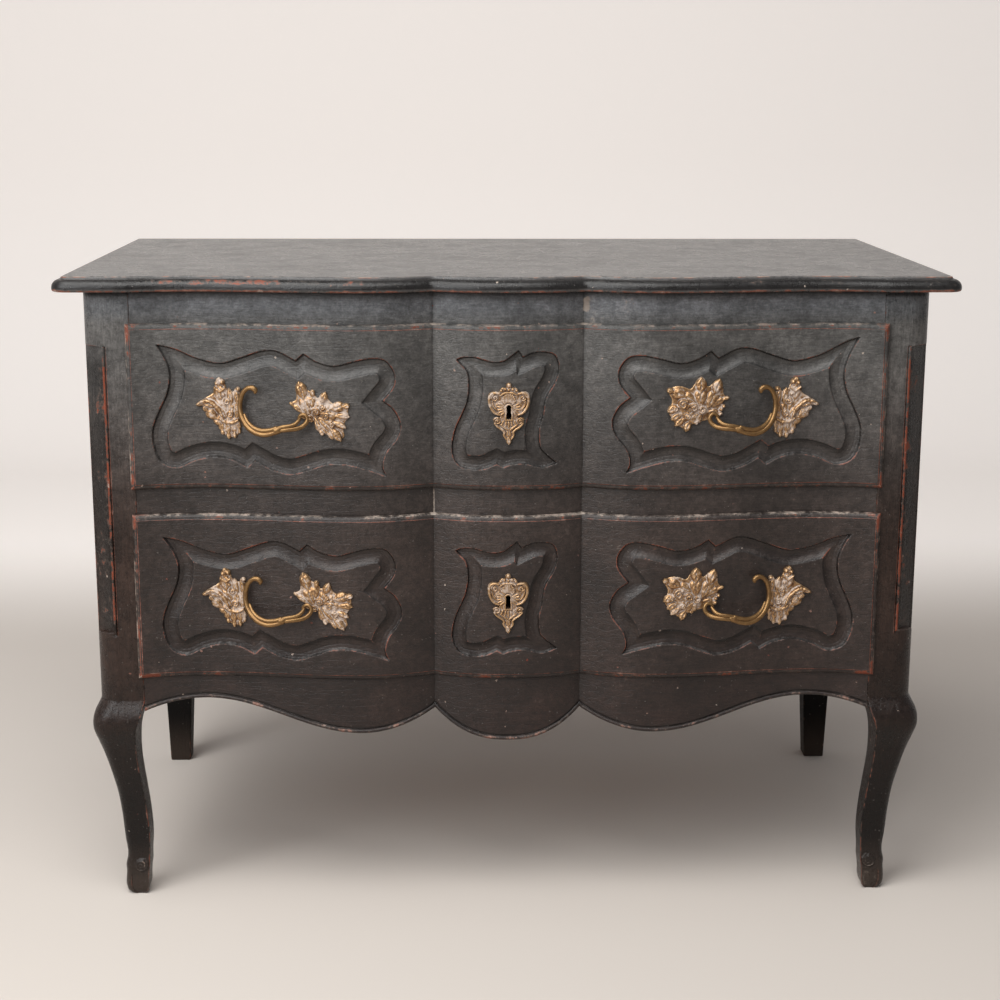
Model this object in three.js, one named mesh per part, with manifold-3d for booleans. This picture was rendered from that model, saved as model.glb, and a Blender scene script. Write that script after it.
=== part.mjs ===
// A two-drawer commode chest with a crossbow front, in millimetres, +Z up.
// The origin is on the floor under the middle of the top. The front faces -Y.
import * as THREE from 'three';
import { mergeVertices } from 'three/addons/utils/BufferGeometryUtils.js';
import Module from 'manifold-3d';

const wasm = await Module();
wasm.setup();

// Overall sizes
const topWidth = 1200;
const topDepth = 636;
const overallHeight = 880;
const topThickness = 20;
const frontOverhang = 29;
const sideOverhang = 34;
const rearOverhang = 6;

// Clearances
const jointGap = 0.3;
const runningGap = 0.6;
const drawerClearance = 1.5;
const cutOverrun = 2;

// The crossbow line of the front: places across it as shares of its half width, and the numbers of
// straight steps between them
const cuspShare = 0.2;
const lobeShare = 0.4;
const hollowShare = 0.83;
const lineSegments = [4, 4, 5, 3];
const lobePower = 2.4;

// How far the front line stands back from the posts' faces, as seen from above
const centreBulge = 8;
const cuspDip = 12;
const lobeBulge = 10;
const hollowDip = 11;
const planLevels = { centre: -centreBulge, cusp: cuspDip, lobe: -lobeBulge, hollow: hollowDip, end: 0 };

// Heights of the apron's lower edge
const apronCentreHeight = 236;
const apronCuspHeight = 277.5;
const apronLobeHeight = 247.5;
const apronHollowHeight = 293.5;
const apronEndHeight = 277;
const apronLevels = {
  centre: apronCentreHeight,
  cusp: apronCuspHeight,
  lobe: apronLobeHeight,
  hollow: apronHollowHeight,
  end: apronEndHeight,
};

// Posts and legs
const frontPostWidth = 64;
const rearPostWidth = 56;
const legHeight = 296;
const postCant = 26;
const postRound = 3;
const legFrontRecessShare = 0.5;
const rearLegOuterTaper = 8;
const rearLegInnerTaper = 15;

// Front rails and drawer openings
const railDepth = 50;
const apronTop = 333;
const topRailHeight = 50;
const middleRailHeight = 47;
const lowerDrawerShare = 0.507;
const tenonLength = 40;
const tenonThickness = 12;
const tenonSetback = 20;
const tenonShoulder = 5;
const pegRadius = 4;
const pegLength = 38;
const pegProud = 0.5;
const pegInset = 12;
const pegSpacing = 18;

// Side frames and back
const sideRailThickness = 22;
const sideRailSetback = 3;
const sideTopRailHeight = 70;
const sideBottomRailBottom = 290;
const sideBottomRailHeight = 56;
const sideTenonLength = 28;
const sideTenonThickness = 10;
const panelThickness = 9;
const panelTongue = 8;
const backRailThickness = 18;
const backRailHeight = 50;
const backBottomRailBottom = 300;
const backBoardThickness = 9;
const backBoardCount = 3;

// Runners and kickers
const runnerThickness = 20;
const runnerReach = 32;
const guideHeight = 25;
const kickerHeight = 20;

// Drawers
const lipOverlap = 6;
const lipThickness = 9;
const lipGap = 0.5;
const lipChamfer = 4;
const frontBackSetback = 30;
const drawerSideThickness = 12;
const drawerBackThickness = 12;
const drawerSideLap = 13;
const drawerSideDrop = 14;
const drawerRearRoom = 77;
const drawerBottomThickness = 9;
const drawerBottomRise = 8;
const grooveDepth = 5;

// Locks
const lockWidth = 80;
const lockDepth = 16;
const lockWall = 2.5;
const lockFootShare = 0.52;
const boltWidth = 24;
const boltThickness = 7;
const boltAboveKeyhole = 20;
const boltThrow = 9;
const keyholeRadius = 3.2;
const keyholeDrop = 15.8;
const keyholeNarrow = 5.4;
const keyholeWide = 7;
const keyholeLift = 2.5;
const keyholeEyeSteps = 8;

// Escutcheons
const escutcheonHeight = 85;
const escutcheonWidth = 57;
const escutcheonThickness = 4;
const escutcheonDrop = 6;

// Handles
const handleInset = 194;
const handleWidth = 195;
const handleHeight = 82;
const plateThickness = 6;
const plateSink = 5;
const barRadius = 3.6;
const barProud = 26;
const barSides = 8;
const barSteps = 22;
const studRadius = 3;
const studEnd = 4;
const nutWidth = 14;
const nutThickness = 5;
const roundSides = 12;

// The top's moulding, from its underside up: how far each line stands in and how high it lies
const mouldingDepth = 16;
const topCornerRadius = 22;
const cornerSteps = 5;
const frontBoardWidth = 100;
const mouldingShares = [
  [0.20, 0.00],
  [0.04, 0.10],
  [0.00, 0.28],
  [0.12, 0.46],
  [0.30, 0.62],
  [0.80, 0.88],
  [1.00, 1.00],
];

// Each line of a front leg: height as a share of the leg's, then the outer face, the inner face
// and the rounded corner as shares of the post's width
const frontLegShares = [
  [0.00, 0.41, 0.845, 0.12],
  [0.10, 0.41, 0.90, 0.13],
  [0.145, 0.40, 0.93, 0.14],
  [0.185, 0.43, 0.935, 0.15],
  [0.29, 0.395, 0.96, 0.16],
  [0.41, 0.35, 0.93, 0.18],
  [0.52, 0.28, 0.875, 0.20],
  [0.61, 0.185, 0.82, 0.22],
  [0.70, 0.07, 0.78, 0.25],
  [0.78, -0.05, 0.775, 0.28],
  [0.86, -0.155, 0.82, 0.33],
  [0.905, -0.15, 0.89, 0.38],
  [0.96, -0.05, 0.97, 0.40],
];

// Half of an escutcheon's outline from its top to its foot, as shares of its half width and height
const escutcheonShares = [
  [0.00, 1.00],
  [0.17, 0.90],
  [0.21, 0.75],
  [0.50, 0.73],
  [0.71, 0.64],
  [1.00, 0.49],
  [0.93, 0.24],
  [0.61, -0.05],
  [0.75, -0.19],
  [0.71, -0.33],
  [0.43, -0.47],
  [0.32, -0.66],
  [0.21, -0.85],
  [0.00, -1.00],
];

// Outlines of a handle's plates and the line of its bar, as shares of its half width and half height.
// The first number runs outwards, away from the middle of the chest. The bar's third number is how
// far its line stands proud, as a share of the bar's greatest reach.
const outerPlateShares = [
  [0.68, 0.93],
  [0.82, 0.95],
  [0.90, 0.63],
  [1.00, 0.20],
  [0.86, -0.27],
  [0.76, -0.68],
  [0.68, -0.95],
  [0.51, -0.98],
  [0.46, -0.68],
  [0.45, 0.00],
  [0.48, 0.71],
];
const innerPlateShares = [
  [-0.32, 0.88],
  [-0.51, 0.63],
  [-0.66, 0.54],
  [-0.75, 0.20],
  [-0.99, 0.12],
  [-0.96, -0.37],
  [-0.89, -1.00],
  [-0.71, -0.78],
  [-0.59, -0.71],
  [-0.41, -0.49],
  [-0.30, -0.07],
  [-0.23, 0.22],
  [-0.28, 0.61],
];
const barShares = [
  [0.24, 0.50, 0.46],
  [0.27, 0.68, 0.40],
  [0.36, 0.70, 0.34],
  [0.45, 0.40, 0.30],
  [0.46, -0.07, 0.36],
  [0.42, -0.49, 0.60],
  [0.31, -0.75, 0.86],
  [0.15, -0.83, 1.00],
  [0.00, -0.73, 1.00],
  [-0.20, -0.60, 0.92],
  [-0.37, -0.52, 0.62],
  [-0.45, -0.30, 0.30],
];
const outerStudShares = [0.68, 0.02];
const innerStudShares = [-0.62, -0.14];

// Places worked out from the sizes above
const topUnderside = overallHeight - topThickness;
const halfTop = topWidth / 2;
const rearEdge = topDepth / 2;
const slabCorner = -topDepth / 2 + lobeBulge;
const caseFront = slabCorner + frontOverhang;
const caseBack = rearEdge - rearOverhang;
const caseHalf = halfTop - sideOverhang;
const openingHalf = caseHalf - frontPostWidth;
const lineEnd = openingHalf + drawerClearance;
const cuspX = cuspShare * lineEnd;
const lobeX = lobeShare * lineEnd;
const hollowX = hollowShare * lineEnd;
const railBack = caseFront + railDepth;
const postTop = topUnderside - jointGap;
const frontPostBack = caseFront + frontPostWidth;
const rearPostFront = caseBack - rearPostWidth;
const rearPostInner = caseHalf - rearPostWidth;
const sideRailOuter = caseHalf - sideRailSetback;
const sideRailInner = sideRailOuter - sideRailThickness;
const frontBackPlane = caseFront + frontBackSetback;
const lipHalf = openingHalf + lipOverlap;
const bodyHalf = openingHalf - drawerClearance;
const sideInner = bodyHalf - drawerSideThickness;
const drawerRear = caseBack - drawerRearRoom;
const handleOffset = lipHalf - handleInset;

const upperOpeningTop = topUnderside - topRailHeight;
const openingsHeight = upperOpeningTop - middleRailHeight - apronTop;
const lowerOpeningTop = apronTop + lowerDrawerShare * openingsHeight;
const upperOpeningBottom = lowerOpeningTop + middleRailHeight;
const openings = {
  upper: { bottom: upperOpeningBottom, top: upperOpeningTop },
  lower: { bottom: apronTop, top: lowerOpeningTop },
};

const materials = {
  paint: { color: 0x332f2d, roughness: 0.5, metalness: 0.0 },
  rawWood: { color: 0xa98458, roughness: 0.8, metalness: 0.0 },
  brass: { color: 0xb08a52, roughness: 0.4, metalness: 0.9 },
  iron: { color: 0x4a4643, roughness: 0.6, metalness: 0.8 },
};

const commode = new THREE.Group();

// A solid from a three.js geometry
function solidOf(geometry) {
  geometry.deleteAttribute('normal');
  geometry.deleteAttribute('uv');
  const merged = mergeVertices(geometry);
  const mesh = new wasm.Mesh({
    numProp: 3,
    vertProperties: new Float32Array(merged.attributes.position.array),
    triVerts: new Uint32Array(merged.index.array),
  });
  return new wasm.Manifold(mesh);
}

// A box between two corners
function block(x0, x1, y0, y1, z0, z1) {
  const geometry = new THREE.BoxGeometry(Math.abs(x1 - x0), Math.abs(y1 - y0), Math.abs(z1 - z0));
  geometry.translate((x0 + x1) / 2, (y0 + y1) / 2, (z0 + z1) / 2);
  return solidOf(geometry);
}

// A round rod along Y
function rodAlongY(radius, x, z, y0, y1) {
  const geometry = new THREE.CylinderGeometry(radius, radius, y1 - y0, roundSides);
  geometry.translate(x, (y0 + y1) / 2, z);
  return solidOf(geometry);
}

// An outline of [x, z] points carried along Y
function prismAlongY(outline, y0, y1) {
  const shape = new THREE.Shape(outline.map(([x, z]) => new THREE.Vector2(x, z)));
  const geometry = new THREE.ExtrudeGeometry(shape, { depth: y1 - y0, bevelEnabled: false });
  geometry.rotateX(Math.PI / 2);
  geometry.translate(0, y1, 0);
  return solidOf(geometry);
}

// A solid through a row of rings with equal numbers of points, closed by a flat cap at each end.
// flat gives a point's place in the plane of the caps.
function stack(rings, flat) {
  const count = rings[0].length;
  const places = rings.flat();
  const faces = [];
  for (let ring = 0; ring + 1 < rings.length; ring += 1) {
    for (let point = 0; point < count; point += 1) {
      const next = (point + 1) % count;
      const low = ring * count;
      const high = low + count;
      faces.push([low + point, low + next, high + next]);
      faces.push([low + point, high + next, high + point]);
    }
  }
  const last = (rings.length - 1) * count;
  for (const [a, b, c] of capFaces(rings[0].map(flat))) {
    faces.push([c, b, a]);
  }
  for (const [a, b, c] of capFaces(rings[rings.length - 1].map(flat))) {
    faces.push([last + a, last + b, last + c]);
  }
  let volume = 0;
  for (const [a, b, c] of faces) {
    volume += places[a].dot(places[b].clone().cross(places[c]));
  }
  const outward = volume > 0 ? faces : faces.map(([a, b, c]) => [a, c, b]);
  const geometry = new THREE.BufferGeometry().setFromPoints(places);
  geometry.setIndex(outward.flat());
  return solidOf(geometry);
}

// The triangles of a cap, all turned the way its outline runs
function capFaces(outline) {
  const turn = Math.sign(THREE.ShapeUtils.area(outline));
  return THREE.ShapeUtils.triangulateShape(outline, []).map(([a, b, c]) => {
    const area = THREE.ShapeUtils.area([outline[a], outline[b], outline[c]]);
    return Math.sign(area) === turn ? [a, b, c] : [a, c, b];
  });
}

const flatAcrossX = (point) => new THREE.Vector2(point.y, point.z);
const flatAcrossZ = (point) => new THREE.Vector2(point.x, point.y);

function addPart(name, solid, look) {
  const mesh = solid.getMesh();
  const geometry = new THREE.BufferGeometry();
  geometry.setAttribute('position', new THREE.BufferAttribute(new Float32Array(mesh.vertProperties), 3));
  geometry.setIndex(new THREE.BufferAttribute(new Uint32Array(mesh.triVerts), 1));
  geometry.computeVertexNormals();
  const part = new THREE.Mesh(geometry, new THREE.MeshStandardMaterial(materials[look]));
  part.name = name;
  commode.add(part);
}

// The double-bowed line of the front and of the apron's edge: a lobe in the middle, a cusp,
// a second lobe and a hollow that runs out at the post
function crossbow(x, levels) {
  const across = Math.min(Math.abs(x), lineEnd);
  if (across <= cuspX) {
    const reach = (across / cuspX) ** lobePower;
    return levels.centre + (levels.cusp - levels.centre) * reach;
  }
  if (across <= lobeX) {
    const reach = ((lobeX - across) / (lobeX - cuspX)) ** 2;
    return levels.lobe + (levels.cusp - levels.lobe) * reach;
  }
  if (across <= hollowX) {
    const reach = (1 - Math.cos((Math.PI * (across - lobeX)) / (hollowX - lobeX))) / 2;
    return levels.lobe + (levels.hollow - levels.lobe) * reach;
  }
  const reach = ((across - hollowX) / (lineEnd - hollowX)) ** 2;
  return levels.hollow + (levels.end - levels.hollow) * reach;
}

const faceY = (x) => caseFront + crossbow(x, planLevels);
const drawerFaceY = (x) => faceY(x) - lipGap - lipThickness;

// Places across the front, close enough to follow its line, out to a half width
function stations(halfWidth) {
  const knots = [0, cuspX, lobeX, hollowX, halfWidth];
  const right = [];
  lineSegments.forEach((steps, index) => {
    for (let step = 1; step <= steps; step += 1) {
      right.push(THREE.MathUtils.lerp(knots[index], knots[index + 1], step / steps));
    }
  });
  const left = right.map((x) => -x).reverse();
  return [...left, 0, ...right];
}

// A rail whose front follows the crossbow line, with a tenon at each end
function frontRail(bottomAt, top, tenonBottom, tenonTop) {
  const rings = stations(openingHalf - jointGap).map((x) => [
    new THREE.Vector3(x, faceY(x), bottomAt(x)),
    new THREE.Vector3(x, faceY(x), top),
    new THREE.Vector3(x, railBack, top),
    new THREE.Vector3(x, railBack, bottomAt(x)),
  ]);
  const rail = stack(rings, flatAcrossX);
  return rail.add(frontTenons(tenonBottom, tenonTop, 0));
}

// The pair of tenons of a front rail, or the room for them when it is grown by a gap
function frontTenons(bottom, top, growth) {
  const reach = openingHalf + tenonLength + growth;
  const front = caseFront + tenonSetback - growth;
  const back = front + tenonThickness + growth + growth;
  return block(-reach, reach, front, back, bottom - growth, top + growth);
}

const tenonLevels = {
  top: [upperOpeningTop + tenonShoulder, postTop - tenonShoulder],
  middle: [lowerOpeningTop + tenonShoulder, upperOpeningBottom - tenonShoulder],
  bottom: [apronHollowHeight + tenonShoulder, apronTop - tenonShoulder],
};

// The pegs through the front joints
function pegPlaces() {
  const topMiddle = (upperOpeningTop + postTop) / 2;
  const bottomMiddle = (tenonLevels.bottom[0] + tenonLevels.bottom[1]) / 2;
  return [
    ['peg_top_upper', topMiddle + pegSpacing / 2],
    ['peg_top_lower', topMiddle - pegSpacing / 2],
    ['peg_bottom', bottomMiddle],
  ];
}

function pegRod(side, z, growth) {
  const x = side * (openingHalf + pegInset);
  return rodAlongY(pegRadius + growth, x, z, caseFront - pegProud, caseFront - pegProud + pegLength + growth);
}

function cutPegs(solid, side) {
  return pegPlaces().reduce((cut, [, z]) => cut.subtract(pegRod(side, z, jointGap)), solid);
}

// The eight corners of a front post's or leg's outline at one height
function frontPostRing(side, z, outer, inner, corner) {
  const front = outer > 0 ? outer * legFrontRecessShare : outer;
  const back = front + inner - outer;
  const corners = [
    [outer + corner, front],
    [inner - postRound, front],
    [inner, front + postRound],
    [inner, back - postRound],
    [inner - postRound, back],
    [outer + postRound, back],
    [outer, back - postRound],
    [outer, front + corner],
  ];
  return corners.map(([u, v]) => new THREE.Vector3(side * (caseHalf - u), caseFront + v, z));
}

// A front corner post in one timber with its curved leg
function frontPost(side) {
  const rings = frontLegShares.map(([height, outer, inner, corner]) =>
    frontPostRing(
      side,
      height * legHeight,
      outer * frontPostWidth,
      inner * frontPostWidth,
      corner * frontPostWidth,
    ),
  );
  rings.push(frontPostRing(side, legHeight, 0, frontPostWidth, postCant));
  rings.push(frontPostRing(side, postTop, 0, frontPostWidth, postCant));
  let post = stack(rings, flatAcrossZ);
  for (const [bottom, top] of Object.values(tenonLevels)) {
    post = post.subtract(frontTenons(bottom, top, jointGap));
  }
  post = cutPegs(post, side);
  return cutSideJoints(post, side);
}

// A rear corner post in one timber with its square tapered leg
function rearPost(side) {
  const ring = (z, outerTaper, innerTaper) => [
    new THREE.Vector3(side * (caseHalf - outerTaper), rearPostFront + innerTaper, z),
    new THREE.Vector3(side * (rearPostInner + innerTaper), rearPostFront + innerTaper, z),
    new THREE.Vector3(side * (rearPostInner + innerTaper), caseBack - outerTaper, z),
    new THREE.Vector3(side * (caseHalf - outerTaper), caseBack - outerTaper, z),
  ];
  const rings = [
    ring(0, rearLegOuterTaper, rearLegInnerTaper),
    ring(sideBottomRailBottom, 0, 0),
    ring(postTop, 0, 0),
  ];
  let post = stack(rings, flatAcrossZ);
  for (const rail of Object.values(backRails)) {
    post = post.subtract(backTenons(rail, jointGap));
  }
  return cutSideJoints(post, side);
}

// The side frames: rails tenoned into the posts, and a panel in a groove all round
const sideRails = {
  top: { bottom: postTop - sideTopRailHeight, top: postTop },
  bottom: { bottom: sideBottomRailBottom, top: sideBottomRailBottom + sideBottomRailHeight },
};

function sideTenon(side, rail, growth) {
  const middle = sideRailOuter - sideRailThickness / 2;
  const half = sideTenonThickness / 2 + growth;
  return block(
    side * (middle - half),
    side * (middle + half),
    frontPostBack - sideTenonLength - growth,
    rearPostFront + sideTenonLength + growth,
    rail.bottom + tenonShoulder - growth,
    rail.top - tenonShoulder + growth,
  );
}

function sidePanel(side, growth) {
  const middle = sideRailOuter - sideRailThickness / 2;
  const half = panelThickness / 2 + growth;
  return block(
    side * (middle - half),
    side * (middle + half),
    frontPostBack - panelTongue - growth,
    rearPostFront + panelTongue + growth,
    sideRails.bottom.top - panelTongue - growth,
    sideRails.top.bottom + panelTongue + growth,
  );
}

function cutSideJoints(post, side) {
  return post
    .subtract(sideTenon(side, sideRails.top, jointGap))
    .subtract(sideTenon(side, sideRails.bottom, jointGap))
    .subtract(sidePanel(side, jointGap));
}

function sideRail(side, rail) {
  const body = block(
    side * sideRailInner,
    side * sideRailOuter,
    frontPostBack + jointGap,
    rearPostFront - jointGap,
    rail.bottom,
    rail.top,
  );
  return body.add(sideTenon(side, rail, 0)).subtract(sidePanel(side, jointGap));
}

// The back frame: two rails tenoned into the rear posts, with boards fixed behind them
const backRails = {
  top: { bottom: postTop - backRailHeight, top: postTop },
  bottom: { bottom: backBottomRailBottom, top: backBottomRailBottom + backRailHeight },
};
const backBoardFront = caseBack - backBoardThickness - jointGap;
const backRailBack = backBoardFront - jointGap;

function backTenons(rail, growth) {
  const reach = rearPostInner + sideTenonLength + growth;
  const middle = backRailBack - backRailThickness / 2;
  const half = sideTenonThickness / 2 + growth;
  const shoulder = tenonShoulder - growth;
  return block(-reach, reach, middle - half, middle + half, rail.bottom + shoulder, rail.top - shoulder);
}

function backRail(rail) {
  const half = rearPostInner - jointGap;
  const body = block(-half, half, backRailBack - backRailThickness, backRailBack, rail.bottom, rail.top);
  return body.add(backTenons(rail, 0));
}

function backBoard(index) {
  const half = rearPostInner - jointGap;
  const width = (half + half + jointGap) / backBoardCount;
  const left = -half + index * width;
  return block(
    left,
    left + width - jointGap,
    backBoardFront,
    caseBack - jointGap,
    backRails.bottom.bottom,
    backRails.top.top,
  );
}

// The top: a moulded slab in two boards
function topRing(inset, z) {
  const side = halfTop - inset;
  const radius = topCornerRadius - inset;
  const front = (x) => slabCorner + inset + crossbow(x, planLevels);
  const ring = [new THREE.Vector3(-side, rearEdge, z)];
  for (let step = 0; step <= cornerSteps; step += 1) {
    const turn = (Math.PI / 2) * (step / cornerSteps);
    const x = -side + radius * (1 - Math.cos(turn));
    ring.push(new THREE.Vector3(x, front(x) + radius * (1 - Math.sin(turn)), z));
  }
  for (const x of stations(lineEnd)) {
    ring.push(new THREE.Vector3(x, front(x), z));
  }
  for (let step = cornerSteps; step >= 0; step -= 1) {
    const turn = (Math.PI / 2) * (step / cornerSteps);
    const x = side - radius * (1 - Math.cos(turn));
    ring.push(new THREE.Vector3(x, front(x) + radius * (1 - Math.sin(turn)), z));
  }
  ring.push(new THREE.Vector3(side, rearEdge, z));
  return ring;
}

function topBoards() {
  const rings = mouldingShares.map(([inset, height]) =>
    topRing(inset * mouldingDepth, topUnderside + height * topThickness),
  );
  const slab = stack(rings, flatAcrossZ);
  const joint = slabCorner + frontBoardWidth;
  const half = halfTop + cutOverrun;
  const low = topUnderside - cutOverrun;
  const high = overallHeight + cutOverrun;
  const behind = block(-half, half, joint - jointGap, rearEdge + cutOverrun, low, high);
  const before = block(-half, half, slabCorner - lobeBulge - cutOverrun, joint, low, high);
  return { front: slab.subtract(behind), rear: slab.subtract(before) };
}

// A runner carries a drawer's side and has a guide beside it
function runner(side, opening) {
  const top = opening.bottom - runningGap;
  const bottom = top - runnerThickness;
  const outer = side * (sideRailInner - jointGap);
  const carry = block(
    side * (openingHalf - runnerReach),
    side * (openingHalf - jointGap),
    railBack + jointGap,
    rearPostFront - jointGap,
    bottom,
    top,
  );
  const seat = block(
    side * (openingHalf - runnerReach),
    outer,
    frontPostBack + jointGap,
    rearPostFront - jointGap,
    bottom,
    top,
  );
  const guide = block(
    side * (openingHalf - drawerClearance + runningGap),
    outer,
    frontPostBack + jointGap,
    rearPostFront - jointGap,
    bottom,
    top + guideHeight,
  );
  return carry.add(seat).add(guide);
}

// A kicker keeps the upper drawer level as it comes out
function kicker(side) {
  const bottom = drawerLevels(openings.upper).sideTop + drawerClearance;
  return block(
    side * (openingHalf - runnerReach),
    side * (sideRailInner - jointGap),
    frontPostBack + jointGap,
    rearPostFront - jointGap,
    bottom,
    bottom + kickerHeight,
  );
}

// The keyhole, a round eye over a flaring slot
function keyholeOutline(z) {
  const outline = [];
  const open = Math.asin(keyholeNarrow / 2 / keyholeRadius);
  for (let step = 0; step <= keyholeEyeSteps; step += 1) {
    const turn = -Math.PI / 2 + open + ((Math.PI + Math.PI - open - open) * step) / keyholeEyeSteps;
    outline.push([keyholeRadius * Math.cos(turn), z + keyholeRadius * Math.sin(turn)]);
  }
  outline.push([-keyholeWide / 2, z - keyholeDrop]);
  outline.push([keyholeWide / 2, z - keyholeDrop]);
  return outline;
}

// The heights that a drawer's pieces share
function drawerLevels(opening) {
  const middle = (opening.bottom + opening.top) / 2;
  return {
    middle,
    bottom: opening.bottom + drawerClearance,
    top: opening.top - drawerClearance,
    sideTop: opening.top - drawerClearance - drawerSideDrop,
    keyhole: middle + keyholeLift,
    escutcheon: middle - escutcheonDrop,
    bottomPanel: opening.bottom + drawerClearance + drawerBottomRise,
  };
}

function studPlaces(levels) {
  return [-1, 1].flatMap((side) =>
    [outerStudShares, innerStudShares].map(([out, up]) => ({
      side,
      x: side * (handleOffset + (out * handleWidth) / 2),
      z: levels.middle + (up * handleHeight) / 2,
    })),
  );
}

// A drawer front: a lipped board whose face follows the crossbow line
function drawerFront(opening, levels) {
  const lipBottom = opening.bottom - lipOverlap;
  const lipTop = opening.top + lipOverlap;
  const lipRing = (x, chamfer) => {
    const back = faceY(x) - lipGap;
    const face = back - lipThickness + chamfer;
    const edge = back - lipThickness + lipChamfer;
    return [
      new THREE.Vector3(x, back, lipBottom),
      new THREE.Vector3(x, edge, lipBottom),
      new THREE.Vector3(x, face, lipBottom + lipChamfer),
      new THREE.Vector3(x, face, lipTop - lipChamfer),
      new THREE.Vector3(x, edge, lipTop),
      new THREE.Vector3(x, back, lipTop),
    ];
  };
  const lip = stack(
    [
      lipRing(-lipHalf, lipChamfer),
      ...stations(lipHalf - lipChamfer).map((x) => lipRing(x, 0)),
      lipRing(lipHalf, lipChamfer),
    ],
    flatAcrossX,
  );
  const body = stack(
    stations(bodyHalf).map((x) => [
      new THREE.Vector3(x, faceY(x) - lipGap - lipThickness / 2, levels.bottom),
      new THREE.Vector3(x, faceY(x) - lipGap - lipThickness / 2, levels.top),
      new THREE.Vector3(x, frontBackPlane, levels.top),
      new THREE.Vector3(x, frontBackPlane, levels.bottom),
    ]),
    flatAcrossX,
  );
  let front = lip.add(body);
  for (const side of [-1, 1]) {
    front = front.subtract(
      block(
        side * (sideInner - jointGap),
        side * (bodyHalf + cutOverrun),
        frontBackPlane - drawerSideLap - jointGap,
        frontBackPlane + cutOverrun,
        levels.bottom - cutOverrun,
        levels.sideTop + jointGap,
      ),
    );
  }
  front = front.subtract(bottomBoard(levels, jointGap));
  const reach = drawerFaceY(0) - cutOverrun;
  front = front.subtract(prismAlongY(keyholeOutline(levels.keyhole), reach, frontBackPlane + cutOverrun));
  for (const { x, z } of studPlaces(levels)) {
    const before = drawerFaceY(lobeX) - cutOverrun;
    front = front.subtract(rodAlongY(studRadius + jointGap, x, z, before, frontBackPlane + cutOverrun));
  }
  return front;
}

// The drawer's bottom board, or the grooves for it when it is grown by a gap
function bottomBoard(levels, growth) {
  const half = sideInner + grooveDepth + growth;
  const front = frontBackPlane - grooveDepth - growth;
  const low = levels.bottomPanel - growth;
  return block(-half, half, front, drawerRear, low, levels.bottomPanel + drawerBottomThickness + growth);
}

function drawerSide(side, levels) {
  const board = block(
    side * sideInner,
    side * bodyHalf,
    frontBackPlane - drawerSideLap,
    drawerRear,
    levels.bottom,
    levels.sideTop,
  );
  return board.subtract(bottomBoard(levels, jointGap));
}

function drawerBack(levels) {
  const half = sideInner - jointGap;
  const bottom = levels.bottomPanel + drawerBottomThickness + jointGap;
  return block(-half, half, drawerRear - drawerBackThickness, drawerRear, bottom, levels.sideTop);
}

// The lock: an iron case with a keyhole in front and a slot on top for its bolt
const boltFront = frontBackPlane + jointGap + (lockDepth - boltThickness) / 2;

function lockCase(levels) {
  const half = lockWidth / 2;
  const front = frontBackPlane + jointGap;
  const back = front + lockDepth;
  const keyholeFoot = levels.keyhole - keyholeDrop;
  const bottom = THREE.MathUtils.lerp(keyholeFoot, levels.bottomPanel + drawerBottomThickness, lockFootShare);
  const boltHalf = boltWidth / 2 + runningGap;
  const outer = block(-half, half, front, back, bottom, levels.top);
  const hollow = block(
    -half + lockWall,
    half - lockWall,
    front + lockWall,
    back - lockWall,
    bottom + lockWall,
    levels.top - lockWall,
  );
  const slot = block(
    -boltHalf,
    boltHalf,
    boltFront - runningGap,
    boltFront + boltThickness + runningGap,
    levels.top - lockWall - cutOverrun,
    levels.top + cutOverrun,
  );
  const keyhole = prismAlongY(keyholeOutline(levels.keyhole), front - cutOverrun, front + lockWall + cutOverrun);
  return outer.subtract(hollow).subtract(slot).subtract(keyhole);
}

function lockBolt(levels) {
  const half = boltWidth / 2;
  return block(
    -half,
    half,
    boltFront,
    boltFront + boltThickness,
    levels.keyhole + boltAboveKeyhole,
    levels.top - runningGap,
  );
}

// The mortise that a thrown bolt fills in the rail above it
function boltMortise(opening) {
  const half = boltWidth / 2 + drawerClearance;
  return block(
    -half,
    half,
    boltFront - drawerClearance,
    boltFront + boltThickness + drawerClearance,
    opening.top - cutOverrun,
    opening.top + boltThrow + drawerClearance,
  );
}

// An escutcheon: a shaped plate that follows the drawer's face, with a keyhole
function escutcheon(levels, front) {
  const halfHeight = escutcheonHeight / 2;
  const halfWidth = escutcheonWidth / 2;
  const right = escutcheonShares.map(([out, up]) => [out * halfWidth, levels.escutcheon + up * halfHeight]);
  const left = right.slice(1, -1).reverse();
  const outline = [...right, ...left.map(([x, z]) => [-x, z])];
  const face = drawerFaceY(0);
  const plate = prismAlongY(outline, face - escutcheonThickness, face + cutOverrun);
  const reach = face - escutcheonThickness - cutOverrun;
  const keyhole = prismAlongY(keyholeOutline(levels.keyhole), reach, face + cutOverrun + cutOverrun);
  return plate.subtract(keyhole).subtract(front.translate(0, -jointGap, 0));
}

// A leafy plate of a handle, bent to the drawer's face
function handlePlate(side, levels, shares) {
  const place = ([out, up]) => [
    side * (handleOffset + (out * handleWidth) / 2),
    levels.middle + (up * handleHeight) / 2,
  ];
  const shape = new THREE.Shape(shares.map(place).map(([x, z]) => new THREE.Vector2(x, z)));
  const depth = plateThickness + plateSink;
  const geometry = new THREE.ExtrudeGeometry(shape, { depth, bevelEnabled: false });
  geometry.rotateX(Math.PI / 2);
  geometry.translate(0, plateSink, 0);
  const places = geometry.attributes.position;
  for (let index = 0; index < places.count; index += 1) {
    places.setY(index, places.getY(index) + drawerFaceY(places.getX(index)));
  }
  return solidOf(geometry);
}

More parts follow.
